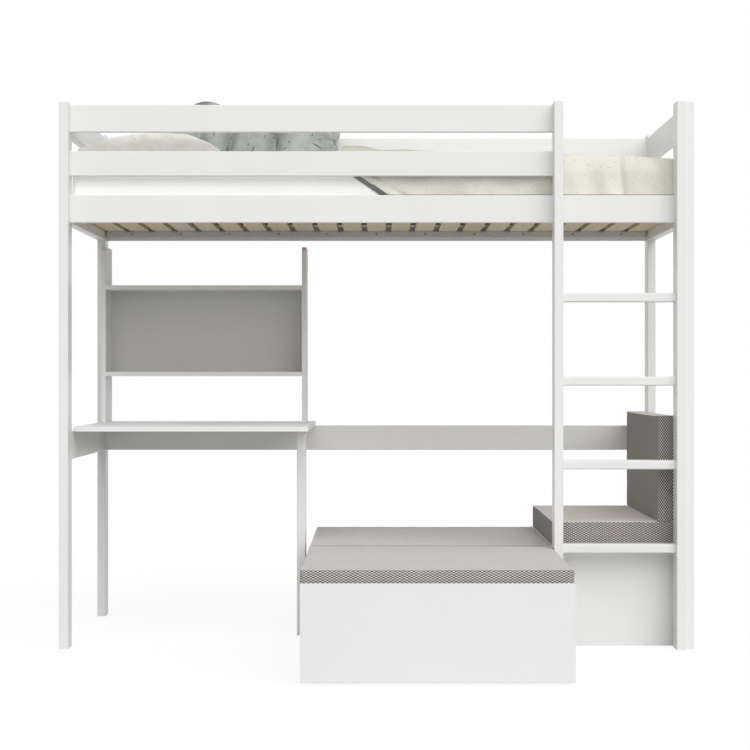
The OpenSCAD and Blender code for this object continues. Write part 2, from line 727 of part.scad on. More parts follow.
function fold(x, y) =
    wave_long * sin(360 * x / wave_long_pitch + wave_long_shift + wave_sway * sin(0.3 * y))
    + wave_short * sin(360 * x / wave_short_pitch + wave_short_shift);

// 0 before t = 0, 1 after t = 1 and a smooth step between
function ease(t) = let (c = max(0, min(1, t))) c * c * (3 - 2 * c);

// The hanging part starts further right the lower it is
function duvet_x(u, s) =
    let (drop = max(0, 1 - s * 3.5), left = duvet_left + duvet_skew * drop * drop)
    left + u * (duvet_right - left);

// Angle of the bend at step s
function turn(s) = 90 * (s - hang_share) / (turn_share - hang_share);

// Inner and outer point of the duvet, at u along the bed and s from the hem to the rear edge
function inner_point(u, s) =
    let (x = duvet_x(u, s), bend_z = duvet_under - turn_r)
    s < hang_share ? [x, duvet_inside, duvet_hem + (bend_z - duvet_hem) * s / hang_share]
    : s < turn_share
        ? [x, duvet_inside + turn_r * (1 - cos(turn(s))), bend_z + turn_r * sin(turn(s))]
        : let (y0 = duvet_inside + turn_r, f = (s - turn_share) / (1 - turn_share))
          [x, y0 + (duvet_rear - y0) * f, duvet_under];
function loft_at(p, u, s) =
    let (flap = flap_rise * (1 - ease((u - flap_share) / flap_fade)),
         curl = curl_rise * exp(-pow(u / curl_share, 2)),
         ends = sin(min(90, end_angle + near_rate * u))
             * sin(min(90, end_angle + far_rate * (1 - u))),
         rear = s > rear_share ? sin(min(90, end_angle + rear_rate * (1 - s))) : 1)
    max(duvet_thin,
        (duvet_loft * (1 + flap + curl) + fold(p.x, p.y)) * pow(ends, 0.6) * rear);
function outer_point(u, s) =
    let (p = inner_point(u, s), h = loft_at(p, u, s))
    s < hang_share ? [p.x, p.y - duvet_drop_t, p.z]
    : s < turn_share
        ? [p.x, p.y - duvet_drop_t * cos(turn(s)),
           p.z + h * sin(turn(s)) * (1 - 0.65 * cos(turn(s)))]
        : [p.x, p.y, p.z + h];

module duvet() {
    m = duvet_across + 1;
    count = m * (duvet_along + 1);
    points = [for (side = [0:1], i = [0:duvet_along], j = [0:duvet_across])
        let (u = i / duvet_along, s = j / duvet_across)
        side == 0 ? outer_point(u, s) : inner_point(u, s)];
    function at(side, i, j) = side * count + i * m + j;
    function quad(a, b, c, d) = [[a, b, c], [a, c, d]];
    faces = concat(
        [for (i = [0:duvet_along - 1], j = [0:duvet_across - 1])
            each quad(at(0, i, j), at(0, i, j + 1), at(0, i + 1, j + 1), at(0, i + 1, j))],
        [for (i = [0:duvet_along - 1], j = [0:duvet_across - 1])
            each quad(at(1, i, j), at(1, i + 1, j), at(1, i + 1, j + 1), at(1, i, j + 1))],
        [for (j = [0:duvet_across - 1])
            each quad(at(0, 0, j), at(1, 0, j), at(1, 0, j + 1), at(0, 0, j + 1))],
        [for (j = [0:duvet_across - 1])
            each quad(at(0, duvet_along, j), at(0, duvet_along, j + 1),
                at(1, duvet_along, j + 1), at(1, duvet_along, j))],
        [for (i = [0:duvet_along - 1])
            each quad(at(0, i, 0), at(0, i + 1, 0), at(1, i + 1, 0), at(1, i, 0))],
        [for (i = [0:duvet_along - 1])
            each quad(at(0, i, duvet_across), at(1, i, duvet_across),
                at(1, i + 1, duvet_across), at(0, i + 1, duvet_across))]);
    at_origin() color(linen_cream) polyhedron(points, faces);
}

// ---- desk -----------------------------------------------------------------------------

nose_steps = 6;                     // flats that make up a rounded corner of a side board

module desktop() at_origin() color(white)
    bar_x([desk_left, desk_setback, desk_z], [desk_right, desk_back, desk_top], board_r);

module desk_leg() at_origin() color(white)
    bar_z([leg_left, leg_front, 0], [leg_right, leg_front + post_w, desk_z]);

// Side board of the shelf unit, with its top front corner rounded
module shelf_side(x0)
    color(white) translate([x0, 0, 0]) rotate([90, 0, 90]) linear_extrude(shelf_t)
        polygon(concat(
            [[shelf_back_y, desk_top], [shelf_back_y, desk_top + shelf_h]],
            [for (s = [0:nose_steps]) let (a = 90 + 90 * s / nose_steps)
                [shelf_front_y + shelf_nose + shelf_nose * cos(a),
                 desk_top + shelf_h - shelf_nose + shelf_nose * sin(a)]],
            [[shelf_front_y, desk_top]]));

module shelf_side_left() at_origin() shelf_side(shelf_left);
module shelf_side_right() at_origin() shelf_side(shelf_right - shelf_t);

module shelf(z) color(white)
    bar_x([shelf_left + shelf_t, shelf_front_y, desk_top + z],
        [shelf_right - shelf_t, shelf_back_y, desk_top + z + shelf_t], board_r);

module shelf_lower() at_origin() shelf(shelf_low);
module shelf_upper() at_origin() shelf(shelf_high);
module shelf_back_panel() at_origin() color(board_grey)
    block([shelf_left + shelf_t, shelf_back_y - shelf_t, desk_top + shelf_low + shelf_t],
        [shelf_right - shelf_t, shelf_back_y, desk_top + shelf_high]);

// ---- fixed seat -----------------------------------------------------------------------

seat_under = seat_h - board_t;

module seat_front_panel() at_origin() color(white)
    bar_z([seat_left, sofa_setback, 0], [seat_right, sofa_setback + board_t, seat_under], board_r);
module seat_side_left() at_origin() color(white)
    bar_z([seat_left, sofa_setback + board_t, 0],
        [seat_left + board_t, sofa_back - board_t, seat_under], board_r);
module seat_side_right() at_origin() color(white)
    bar_z([seat_right - board_t, sofa_setback + board_t, 0],
        [seat_right, sofa_back - board_t, seat_under], board_r);
module seat_back_panel() at_origin() color(white)
    bar_z([seat_left, sofa_back - board_t, 0], [seat_right, sofa_back, seat_under], board_r);
module seat_top() at_origin() color(white)
    bar_x([seat_left, sofa_setback, seat_under], [seat_right, sofa_back, seat_h], board_r);

// ---- guest bed ------------------------------------------------------------------------

function comb_x(i) = comb_x0 + i * comb_pitch;

// Notches in a cross rail that let the slats with the given remainder pass over it
module comb_notches(odd, y0, y1)
    for (i = [0:comb_count - 1])
        if (i % 2 == odd)
            block([comb_x(i) - slat_play, y0 - past, cross_top - slat_notch],
                [comb_x(i) + guest_slat_w + slat_play, y1 + past, cross_top + past]);

module guest_side_board() at_origin() color(white)
    bar_z([guest_left, sofa_setback, 0], [guest_board_right, sofa_back, cross_top], board_r);

module guest_cross_rail() at_origin() color(white) difference() {
    bar_x([guest_board_right, sofa_setback, cross_top - cross_rail_h],
        [seat_left, cross_rear, cross_top], board_r);
    comb_notches(0, sofa_setback, cross_rear);
}

module guest_rear_board() at_origin() color(white)
    bar_z([guest_board_right, sofa_back - board_t, 0], [seat_left, sofa_back, cross_top], board_r);

module comb_slats(odd, y0, y1)
    for (i = [0:comb_count - 1])
        if (i % 2 == odd)
            bar_y([comb_x(i), y0, cross_top], [comb_x(i) + guest_slat_w, y1, guest_slat_top],
                slat_r);

module guest_slats_fixed() at_origin() color(ply) comb_slats(1, sofa_setback, sofa_back);

module drawer_front() at_origin() color(white) difference() {
    bar_x([drawer_left, panel_front, glide_h], [drawer_right, panel_back, drawer_top], board_r);
    moving_slats();
}

module drawer_side(x0) color(white)
    bar_y([x0, panel_back, glide_h], [x0 + board_t, drawer_cross_rear, drawer_side_top],
        board_r);

module drawer_side_left() at_origin() drawer_side(drawer_side_x0);
module drawer_side_right() at_origin() drawer_side(drawer_side_x1 - board_t);

// Cross rail at the rear of the pull-out: meets the fixed rail when fully out
module drawer_cross_rail() at_origin() color(white) difference() {
    union() {
        block([drawer_side_x0 + board_t, drawer_cross_front, drawer_side_top / 2],
            [drawer_side_x1 - board_t, drawer_cross_rear, cross_top]);
        block([drawer_side_x0, drawer_cross_front, drawer_side_top],
            [drawer_side_x1, drawer_cross_rear, cross_top]);
    }
    comb_notches(1, drawer_cross_front, drawer_cross_rear);
}

// Moving slats: front ends housed in the panel, rear ends on the cross rail
module moving_slats() comb_slats(0, panel_back - slat_housing, drawer_cross_rear);
module drawer_slats() at_origin() color(ply) moving_slats();

// Glides: a broad foot, flush with the outside of the side board, on a neck under it
glide_inset = 60;                   // from the panel and from the rear end
glide_bevel = 1;
neck_h = 3;
module drawer_glides() at_origin() color(plastic_grey)
    for (x = [drawer_side_x0 + glide_r, drawer_side_x1 - glide_r])
        for (y = [panel_back + glide_inset, drawer_cross_rear - glide_inset])
            translate([x, y, 0]) rotate_extrude()
                polygon([[0, 0], [glide_r - glide_bevel, 0], [glide_r, glide_bevel],
                    [glide_r, glide_h - neck_h], [glide_neck_r, glide_h - neck_h],
                    [glide_neck_r, glide_h], [0, glide_h]]);

post_front_left();
post_front_right();
post_back_left();
post_back_right();
end_rail_left_top();
end_rail_left_bed();
end_rail_left_desk();
end_rail_right_top();
end_rail_right_bed();
end_rail_right_desk();
guard_front_top();
guard_front_middle();
bed_rail_front();
guard_back();
bed_rail_back();
desk_rail_back();
ladder_stile_left();
ladder_stile_right();
rung_1();
rung_2();
rung_3();
rung_4();
slat_ledge_front();
slat_ledge_back();
bed_slats();
slat_tapes();
bed_mattress();
duvet();
pillow_cream();
pillow_green();
desktop();
desk_leg();
shelf_side_left();
shelf_side_right();
shelf_lower();
shelf_upper();
shelf_back_panel();
seat_front_panel();
seat_side_left();
seat_side_right();
seat_back_panel();
seat_top();
seat_cushion();
back_cushion();
guest_side_board();
guest_cross_rail();
guest_rear_board();
guest_slats_fixed();
guest_mattress_rear();
guest_mattress_front();
drawer_front();
drawer_side_left();
drawer_side_right();
drawer_cross_rail();
drawer_slats();
drawer_glides();
frame_bolts();
ledge_screws();
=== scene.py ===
import math

import bpy
import numpy as np
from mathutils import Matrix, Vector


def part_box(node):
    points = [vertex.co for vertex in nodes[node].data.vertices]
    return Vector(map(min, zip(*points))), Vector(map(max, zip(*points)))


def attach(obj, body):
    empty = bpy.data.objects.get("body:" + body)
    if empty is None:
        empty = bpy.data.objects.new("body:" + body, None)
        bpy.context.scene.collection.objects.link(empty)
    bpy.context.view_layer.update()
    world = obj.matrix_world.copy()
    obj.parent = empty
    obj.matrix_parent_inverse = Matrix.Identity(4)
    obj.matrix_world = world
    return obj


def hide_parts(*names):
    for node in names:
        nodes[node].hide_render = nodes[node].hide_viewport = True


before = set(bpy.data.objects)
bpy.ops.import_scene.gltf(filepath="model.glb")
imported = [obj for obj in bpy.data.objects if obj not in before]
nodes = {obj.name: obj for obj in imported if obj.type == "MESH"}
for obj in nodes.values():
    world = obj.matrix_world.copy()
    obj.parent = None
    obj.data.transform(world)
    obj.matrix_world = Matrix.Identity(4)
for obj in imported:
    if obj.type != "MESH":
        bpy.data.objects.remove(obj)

# The camera stands 7 m in front of the bed at desk height, level and square to it, as the
# photograph was taken.
scene = bpy.context.scene
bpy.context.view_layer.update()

camera_y, camera_z, far_limit = -7.016, 0.9055, 100         # metres
film_width, focal_length = 36, 100.18                       # millimetres
film_shift = -0.002, 0.00067               # the picture's middle lies a hair off the axis

camera = bpy.data.objects.new("camera", bpy.data.cameras.new("camera"))
scene.collection.objects.link(camera)
camera.location = (0, camera_y, camera_z)
camera.rotation_euler = (math.radians(90), 0, 0)
camera.data.sensor_width = film_width
camera.data.lens = focal_length
camera.data.shift_x, camera.data.shift_y = film_shift
camera.data.clip_end = far_limit
scene.camera = camera
scene.view_settings.view_transform = "Standard"

# ---- Studio: floor, daylight and one soft lamp ------------------------------------------
# A white paper floor with an even white surround. A broad lamp high in front and a little
# to the right lights the fronts, so the deck shades what stands under it.
daylight, backdrop = 0.48, 1.0             # the surround as it lights and as it is seen
paper_white, paper_glow, glow_share = "#bebebc", 1.17, 0.75
floor_half = 40                            # metres
lamp_power = 2.08                          # W/m2
lamp_spread, lamp_height, lamp_side = 66, 40, 20            # degrees


def srgb(code):
    """An sRGB hex colour as linear RGBA."""
    parts = [int(code[i:i + 2], 16) / 255 for i in (1, 3, 5)]
    return (*(c / 12.92 if c <= 0.04045 else ((c + 0.055) / 1.055) ** 2.4 for c in parts), 1)


def add(tree, kind, sets, *links):
    """Adds one node with its settings and socket values, and links sockets to sources."""
    node = tree.nodes.new("ShaderNode" + kind)
    for name, value in sets.items():
        if isinstance(name, str) and hasattr(node, name):
            setattr(node, name, value)
        else:
            node.inputs[name].default_value = value
    for socket, source in links:
        tree.links.new(source, node.inputs[socket])
    return node


def seen_directly(tree):
    """1 for what the camera sees straight, mirrored or through glass, else 0."""
    path = add(tree, "LightPath", {})
    either = add(tree, "Math", {"operation": "MAXIMUM"},
                 (0, path.outputs["Is Camera Ray"]), (1, path.outputs["Is Glossy Ray"]))
    return add(tree, "Math", {"operation": "MAXIMUM"},
               (0, either.outputs[0]), (1, path.outputs["Is Transmission Ray"])).outputs[0]


surround = bpy.data.worlds.new("white_surround")
surround.use_nodes = True
scene.world = surround
tree = surround.node_tree
level = add(tree, "MapRange", {"To Min": daylight, "To Max": backdrop},
            ("Value", seen_directly(tree)))
tree.links.new(level.outputs[0], tree.nodes["Background"].inputs["Strength"])
tree.nodes["Background"].inputs["Color"].default_value = (1, 1, 1, 1)

paper = bpy.data.materials.new("matt_white_paper")
paper.use_nodes = True
tree = paper.node_tree
shader = tree.nodes["Principled BSDF"]
shader.inputs["Base Color"].default_value = srgb(paper_white)
shader.inputs["Roughness"].default_value = 0.9
glow = add(tree, "Emission", {"Color": (1, 1, 1, 1), "Strength": paper_glow})
share = add(tree, "Math", {"operation": "MULTIPLY", 1: glow_share}, (0, seen_directly(tree)))
both = add(tree, "MixShader", {}, (0, share.outputs[0]), (1, shader.outputs[0]),
           (2, glow.outputs[0]))
tree.links.new(both.outputs[0], tree.nodes["Material Output"].inputs["Surface"])

corners = ((-1, -1), (1, -1), (1, 1), (-1, 1))
floor_mesh = bpy.data.meshes.new("floor")
floor_mesh.from_pydata([(x * floor_half, y * floor_half, 0) for x, y in corners], [],
                       [(0, 1, 2, 3)])
floor = bpy.data.objects.new("floor", floor_mesh)
floor.data.materials.append(paper)
scene.collection.objects.link(floor)

lamp = bpy.data.objects.new("soft_lamp", bpy.data.lights.new("soft_lamp", "SUN"))
lamp.data.energy = lamp_power
lamp.data.angle = math.radians(lamp_spread)
lamp.rotation_euler = (math.radians(90 - lamp_height), 0, math.radians(lamp_side))
scene.collection.objects.link(lamp)

# ---- Posts, rails and ladder: lacquered beech -------------------------------------------
# Planed solid beech bars, tenoned and bolted together, sprayed white twice and sanded
# between coats. The grain still shows as long shallow streaks in a satin film, and it
# runs along each bar.
grain_width, grain_run = 0.003, 0.16       # pores are 0.1 mm; drawn coarser so they show
grain_depth = 0.00015
coat_patch = 0.3                           # how slowly the coat's tone drifts


def finish(name, colour, roughness, **values):
    """A new material, its node tree and its shader."""
    made = bpy.data.materials.new(name)
    made.use_nodes = True
    shader = made.node_tree.nodes["Principled BSDF"]
    shader.inputs["Base Color"].default_value = srgb(colour)
    shader.inputs["Roughness"].default_value = roughness
    for socket, value in values.items():
        shader.inputs[socket.replace("_", " ")].default_value = value
    return made, made.node_tree, shader


def streaks(tree, *size):
    """Noise whose features are so many metres long along x, y and z, or every way."""
    size = size * 3 if len(size) == 1 else size
    where = add(tree, "TexCoord", {})
    stretch = add(tree, "Mapping", {"Scale": tuple(1 / s for s in size)},
                  ("Vector", where.outputs["Object"]))
    return add(tree, "TexNoise", {"Scale": 1.0, "Detail": 3.0, "Roughness": 0.6},
               ("Vector", stretch.outputs[0])).outputs["Fac"]


def mottled(tree, patch, low, high):
    """A colour that drifts between two hex colours in patches of that many metres."""
    drift = add(tree, "MapRange", {"From Min": 0.35, "From Max": 0.65},
                ("Value", streaks(tree, patch)))
    return add(tree, "Mix", {"data_type": "RGBA", 6: srgb(low), 7: srgb(high)},
               (0, drift.outputs[0])).outputs[2]


def emboss(tree, shader, pattern, depth=0.0, strength=1.0, gloss=()):
    """Presses a pattern into the surface, depth in metres, and varies its roughness."""
    if depth:
        pressed = add(tree, "Bump", {"Strength": strength, "Distance": depth},
                      ("Height", pattern))
        tree.links.new(pressed.outputs[0], shader.inputs["Normal"])
    if gloss:
        rough = add(tree, "MapRange", {"From Min": 0.3, "From Max": 0.7, "To Min": gloss[0],
                                       "To Max": gloss[1]}, ("Value", pattern))
        tree.links.new(rough.outputs[0], shader.inputs["Roughness"])


def lacquered_beech(axis, name="lacquered_beech", low="#e8e8e7", high="#eaeae9"):
    """White satin lacquer with the grain along one axis."""
    made, tree, shader = finish(f"{name}_along_{'xyz'[axis]}", high, 0.36,
                                Specular_IOR_Level=0.45)
    size = [grain_width] * 3
    size[axis] = grain_run
    tree.links.new(mottled(tree, coat_patch, low, high), shader.inputs["Base Color"])
    emboss(tree, shader, streaks(tree, *size), grain_depth, 0.5, gloss=(0.32, 0.42))
    return made


def dress(names, material):
    """Puts one material on CAD nodes."""
    for name in names.split():
        nodes[name].data.materials.clear()
        nodes[name].data.materials.append(material)


dress("post_front_left post_front_right post_back_left post_back_right "
      "ladder_stile_left ladder_stile_right desk_leg", lacquered_beech(2))
dress("guard_front_top guard_front_middle bed_rail_front guard_back bed_rail_back "
      "desk_rail_back rung_1 rung_2 rung_3 rung_4", lacquered_beech(0))
dress("end_rail_left_top end_rail_left_bed end_rail_left_desk end_rail_right_top "
      "end_rail_right_bed end_rail_right_desk", lacquered_beech(1))

# ---- Frame bolts: zinc plated steel -----------------------------------------------------
# Cap bolts through the posts into barrel nuts in the rails. Bright zinc, slightly blue,
# whose fine turned surface blurs what it mirrors.
turned_marks = 0.002                       # 0.2 mm on the real bolt; drawn coarser
zinc, tree, shader = finish("zinc_plated_steel", "#c6c8ca", 0.34, Metallic=1.0)
emboss(tree, shader, streaks(tree, turned_marks), gloss=(0.28, 0.44))
dress("frame_bolts", zinc)

# ---- Desk, shelf, seat box and guest bed panels: melamine-faced board --------------------
# Chipboard with a white melamine face and matching edge band. The press plate leaves a very
# fine pearl texture with a low, even sheen. The shelf's back is thin painted hardboard; its
# grey colour is painted shade, for the shade it stands in under the deck.
pearl, pearl_depth = 0.0012, 0.00008       # 0.3 mm on the real board; drawn coarser
face_patch = 0.4


def faced_board(name, low, high):
    """A pressed white face whose tone hardly changes."""
    made, tree, shader = finish(name, high, 0.46, Specular_IOR_Level=0.4)
    tree.links.new(mottled(tree, face_patch, low, high), shader.inputs["Base Color"])
    emboss(tree, shader, streaks(tree, pearl), pearl_depth, 0.5, gloss=(0.42, 0.52))
    return made


dress("desktop shelf_side_left shelf_side_right shelf_lower shelf_upper "
      "seat_front_panel seat_back_panel seat_side_left seat_side_right seat_top "
      "guest_rear_board guest_side_board guest_cross_rail drawer_front drawer_side_left "
      "drawer_side_right drawer_cross_rail", faced_board("melamine_board", "#e8e8e8", "#eaeaea"))
# Painted shade: the shelf's back is coloured greyer than the other boards.
dress("shelf_back_panel", faced_board("hardboard_in_painted_shade", "#cececd", "#d1d1d0"))

# ---- Slat ledges and their screws -------------------------------------------------------
# Two beech ledges screwed along the insides of the bed rails, coloured greyer than the
# rails. The countersunk screws are burnished steel, darker than zinc.
rubbed_marks, rubbed_depth = 0.001, 0.00005                 # drawn coarser
dress("slat_ledge_front slat_ledge_back",
      lacquered_beech(0, "greyer_beech", "#c8c8c7", "#cacac9"))
steel, tree, shader = finish("burnished_steel", "#909294", 0.5, Metallic=1.0)
emboss(tree, shader, streaks(tree, rubbed_marks), rubbed_depth)
dress("ledge_screws", steel)

# ---- Slats ------------------------------------------------------------------------------
# Birch slats sanded and left raw, each board its own tone, laid on the ledges. The guest
# bed has the same slats, laid like two combs one between the other.
bed_pitch, comb_pitch, comb_first = 0.0890, 0.0717, -0.170  # metres from slat to slat
birch_grain, birch_depth = (0.004, 0.22, 0.004), 0.0002     # fine pores, drawn coarser
grain_share, board_share = 0.55, 0.45      # of the tone: from the grain and from the board


def raw_birch(name, pitch, first=0.0):
    """Raw wood along y whose tone changes from slat to slat."""
    made, tree, shader = finish(name, "#dcc7a2", 0.62, Specular_IOR_Level=0.3)
    where = add(tree, "TexCoord", {})
    x = add(tree, "SeparateXYZ", {}, (0, where.outputs["Object"])).outputs[0]
    board = add(tree, "Math", {"operation": "MULTIPLY_ADD", 1: 1 / pitch,
                               2: -first / pitch}, (0, x))
    number = add(tree, "Math", {"operation": "ROUND"}, (0, board.outputs[0]))
    tone = add(tree, "TexWhiteNoise", {"noise_dimensions": "1D"}, ("W", number.outputs[0]))
    grain = streaks(tree, *birch_grain)
    figure = add(tree, "MapRange", {"From Min": 0.3, "From Max": 0.7,
                                    "To Max": grain_share}, ("Value", grain))
    mixed = add(tree, "Math", {"operation": "MULTIPLY_ADD", 1: board_share},
                (0, tone.outputs["Value"]), (2, figure.outputs[0]))
    colour = add(tree, "Mix", {"data_type": "RGBA", 6: srgb("#cfba97"), 7: srgb("#e6d9c0")},
                 (0, mixed.outputs[0]))
    tree.links.new(colour.outputs[2], shader.inputs["Base Color"])
    emboss(tree, shader, grain, birch_depth, 0.6)
    return made


dress("bed_slats", raw_birch("raw_birch_bed", bed_pitch))
dress("guest_slats_fixed drawer_slats", raw_birch("raw_birch_guest", comb_pitch, comb_first))

# ---- Slat tapes -------------------------------------------------------------------------
# Two woven cotton tapes stapled over the slats, which keep them apart. Between two slats
# the tape hangs a little slack, so its white shows from below.
tape_y, tape_w, tape_t = (0.021, 0.744), 0.040, 0.0010      # front edges, width, thickness
tape_weave, tape_relief = (0.0015, 0.0025, 0.0015), 0.0003  # 0.5 mm threads, drawn coarser
slat_gap, tape_dip, gaps_each_side = 0.021, 0.0045, 11
dip_line = ((-1.0, 0.0), (-0.86, 0.55), (-0.6, 0.9), (0.0, 1.0), (0.6, 0.9), (0.86, 0.55),
            (1.0, 0.0))                    # shares of half the gap and of the dip


def hold(made, body):
    """Lets the piece ride on a body."""
    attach(made, body)
    return made


tape, tree, shader = finish("woven_cotton_tape", "#fbfaf7", 0.85)
emboss(tree, shader, streaks(tree, *tape_weave), tape_relief)
tape_lo, tape_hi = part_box("slat_tapes")
line = [(tape_lo.x, 0.0)]
for k in range(-gaps_each_side, gaps_each_side):
    middle = bed_pitch * (k + 0.5)
    line += [(middle + slat_gap / 2 * u, tape_dip * d) for u, d in dip_line]
line.append((tape_hi.x, 0.0))
points, faces = [], []
for y in tape_y:
    first = len(points)
    for x, dip in line:
        points += [(x, y + dy, tape_hi.z - dz - dip) for dy, dz in
                   ((0, 0), (tape_w, 0), (tape_w, tape_t), (0, tape_t))]
    last = first + 4 * (len(line) - 1)
    for a in range(first, last, 4):
        faces += [(a + i, a + (i + 1) % 4, a + 4 + (i + 1) % 4, a + 4 + i) for i in range(4)]
    faces += [(first + 3, first + 2, first + 1, first), (last, last + 1, last + 2, last + 3)]
tape_mesh = bpy.data.meshes.new("slat_tape_pair")
tape_mesh.from_pydata(points, [], faces)
tapes = bpy.data.objects.new("slat_tape_pair", tape_mesh)
tapes.data.materials.append(tape)
scene.collection.objects.link(tapes)
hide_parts("slat_tapes")
hold(tapes, "root")

# ---- Drawer glides ----------------------------------------------------------------------
# Four grey nylon glides under the pull-out. Moulded nylon has a faint grit and a soft sheen.
grit, grit_depth = 0.001, 0.00005          # 0.1 mm on the real glide; drawn coarser
nylon, tree, shader = finish("moulded_nylon", "#6f7173", 0.5)
emboss(tree, shader, streaks(tree, grit), grit_depth)
dress("drawer_glides", nylon)

# ---- Bed mattress -----------------------------------------------------------------------
# A foam core in a white stretch knit: a side border with a faint painted glow, a slightly
# greyer top panel and a dark non-slip cloth below. The panels are sewn to the border with a
# soft piping, which glows with the border.
knit_rib = 0.0028, 0.0028, 0.0016          # stitches are 1 mm; drawn coarser so they show
knit_depth = 0.0005
panel_from = 0.75                          # a face whose normal rises less is border
foam_pressure = 4.0
head_fill = (0.0103, 0, 0), (0, 0, 0)      # the soft head end fills the gap to the rails


def steps_between(lo, hi, fine, cell):
    """Places along an edge: fine ones near both ends, and even ones between."""
    inner = np.linspace(lo + fine[-1], hi - fine[-1],
                        max(2, round((hi - lo - 2 * fine[-1]) / cell) + 1))
    return np.concatenate([lo + np.array(fine[:-1]), inner, hi - np.array(fine[:-1])[::-1]])


def foam_skin(name, lo, hi, edge, corner, cell):
    """The closed cover of a foam block with rounded edges, and the mesh rows of its seams."""
    fine_plan = sorted({0.0, 0.4 * edge, edge, edge + (corner - edge) / 2, corner})
    grid = [steps_between(lo[0], hi[0], fine_plan, cell),
            steps_between(lo[1], hi[1], fine_plan, cell),
            steps_between(lo[2], hi[2], [0.0, 0.4 * edge, edge], cell)]
    number, points, faces = {}, [], []

    def at(*ijk):
        """The number of the rounded point at one place of the grid."""
        if ijk not in number:
            number[ijk] = len(points)
            p = np.array([grid[a][ijk[a]] for a in range(3)])
            core = np.clip(p, np.array(lo) + corner, np.array(hi) - corner)[:2]
            away = p[:2] - core
            reach = corner - edge
            if np.linalg.norm(away) > reach:
                away *= reach / np.linalg.norm(away)
            q = np.array([*(core + away), np.clip(p[2], lo[2] + edge, hi[2] - edge)])
            n = p - q
            points.append(q + edge * n / max(np.linalg.norm(n), 1e-9))
        return number[ijk]

    for axis in range(3):
        u, v = [a for a in range(3) if a != axis]
        for end in (0, len(grid[axis]) - 1):
            for i in range(len(grid[u]) - 1):
                for j in range(len(grid[v]) - 1):
                    quad = []
                    for a, b in ((i, j), (i + 1, j), (i + 1, j + 1), (i, j + 1)):
                        ijk = [0, 0, 0]
                        ijk[axis], ijk[u], ijk[v] = end, a, b
                        quad.append(at(*ijk))
                    faces.append(quad if (end > 0) == (axis != 1) else quad[::-1])
    nx, ny, nz = (len(g) - 1 for g in grid)
    ring = [(i, 0) for i in range(nx)] + [(nx, j) for j in range(ny)] \
        + [(i, ny) for i in range(nx, 0, -1)] + [(0, j) for j in range(ny, 0, -1)]
    low_row, top_row = ([number[(i, j, k)] for i, j in ring] for k in (0, nz))
    return smooth_piece(name, [tuple(p) for p in points], faces), low_row, top_row


def smooth_piece(name, points, faces):
    """A smooth-shaded mesh object in the scene."""
    mesh = bpy.data.meshes.new(name)
    mesh.from_pydata(points, [], faces)
    mesh.polygons.foreach_set("use_smooth", [True] * len(mesh.polygons))
    made = bpy.data.objects.new(name, mesh)
    scene.collection.objects.link(made)
    return made


def spots(made):
    """The mesh's points as an array."""
    co = np.zeros(len(made.data.vertices) * 3)
    made.data.vertices.foreach_get("co", co)
    return co.reshape(-1, 3)


def place(made, co):
    """Writes the mesh's points."""
    made.data.vertices.foreach_set("co", np.asarray(co, np.float32).ravel())
    made.data.update()


def stuff(made, pressure, cap, frames=20, stiff=15.0, bend=0.6):
    """Swells the cover by cloth pressure; no point moves further than about cap."""
    rest = spots(made)
    cloth = made.modifiers.new("stuffing", "CLOTH")
    cover = cloth.settings
    cover.quality = 4
    cover.mass = 0.3
    cover.tension_stiffness = cover.compression_stiffness = stiff
    cover.shear_stiffness = stiff / 3
    cover.bending_stiffness = bend
    cover.use_pressure = True
    cover.uniform_pressure_force = pressure
    cover.effector_weights.gravity = 0
    cloth.point_cache.frame_start, cloth.point_cache.frame_end = 1, frames
    for f in range(1, frames + 1):
        scene.frame_set(f)
    swollen = made.evaluated_get(bpy.context.evaluated_depsgraph_get()).data
    co = np.zeros(len(rest) * 3)
    swollen.vertices.foreach_get("co", co)
    made.modifiers.remove(cloth)
    scene.frame_set(1)
    step = co.reshape(-1, 3) - rest
    far = np.linalg.norm(step, axis=1, keepdims=True) + 1e-9
    place(made, rest + step * cap * np.tanh(far / cap) / far)


def fill_box(made, node, grow=((0, 0, 0), (0, 0, 0))):
    """Brings the piece to the box that its CAD solid holds, and a little past it by grow."""
    co = spots(made)
    lo, hi = (np.array(p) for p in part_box(node))
    lo, hi = lo - np.array(grow[0]), hi + np.array(grow[1])
    least, most = co.min(0), co.max(0)
    place(made, lo + (co - least) * (hi - lo) / (most - least))


def smooth_once(made):
    """One subdivision, in the view and in the render."""
    made.modifiers.new("smooth", "SUBSURF").levels = 1
    made.modifiers["smooth"].render_levels = 1


def sewn_line(name, points, radius, material):
    """A piping or a sewn edge along a closed row of points."""
    line = bpy.data.curves.new(name, "CURVE")
    line.dimensions = "3D"
    line.bevel_depth = radius
    line.bevel_resolution = 2
    run = line.splines.new("POLY")
    run.points.add(len(points) - 1)
    run.points.foreach_set("co", [c for p in points for c in (*p, 1)])
    run.use_cyclic_u = True
    line.materials.append(material)
    made = bpy.data.objects.new(name, line)
    scene.collection.objects.link(made)
    return made


def foam_piece(node, body, material, edge, corner, cell, piping, swell, grow):
    """A foam block in its cover, swollen, seamed and set in the place of its CAD solid."""
    lo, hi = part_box(node)
    inset = swell / 2
    made, low_row, top_row = foam_skin(node + "_cover", [c + inset for c in lo],
                                       [c - inset for c in hi], edge, corner, cell)
    stuff(made, foam_pressure, swell)
    fill_box(made, node, grow)
    made.data.materials.append(material)
    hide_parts(node)
    hold(made, body)
    co = spots(made)
    for row, which in ((low_row, "low"), (top_row, "top")):
        hold(sewn_line(f"{node}_seam_{which}", co[row], piping, material), body)
    smooth_once(made)
    return made


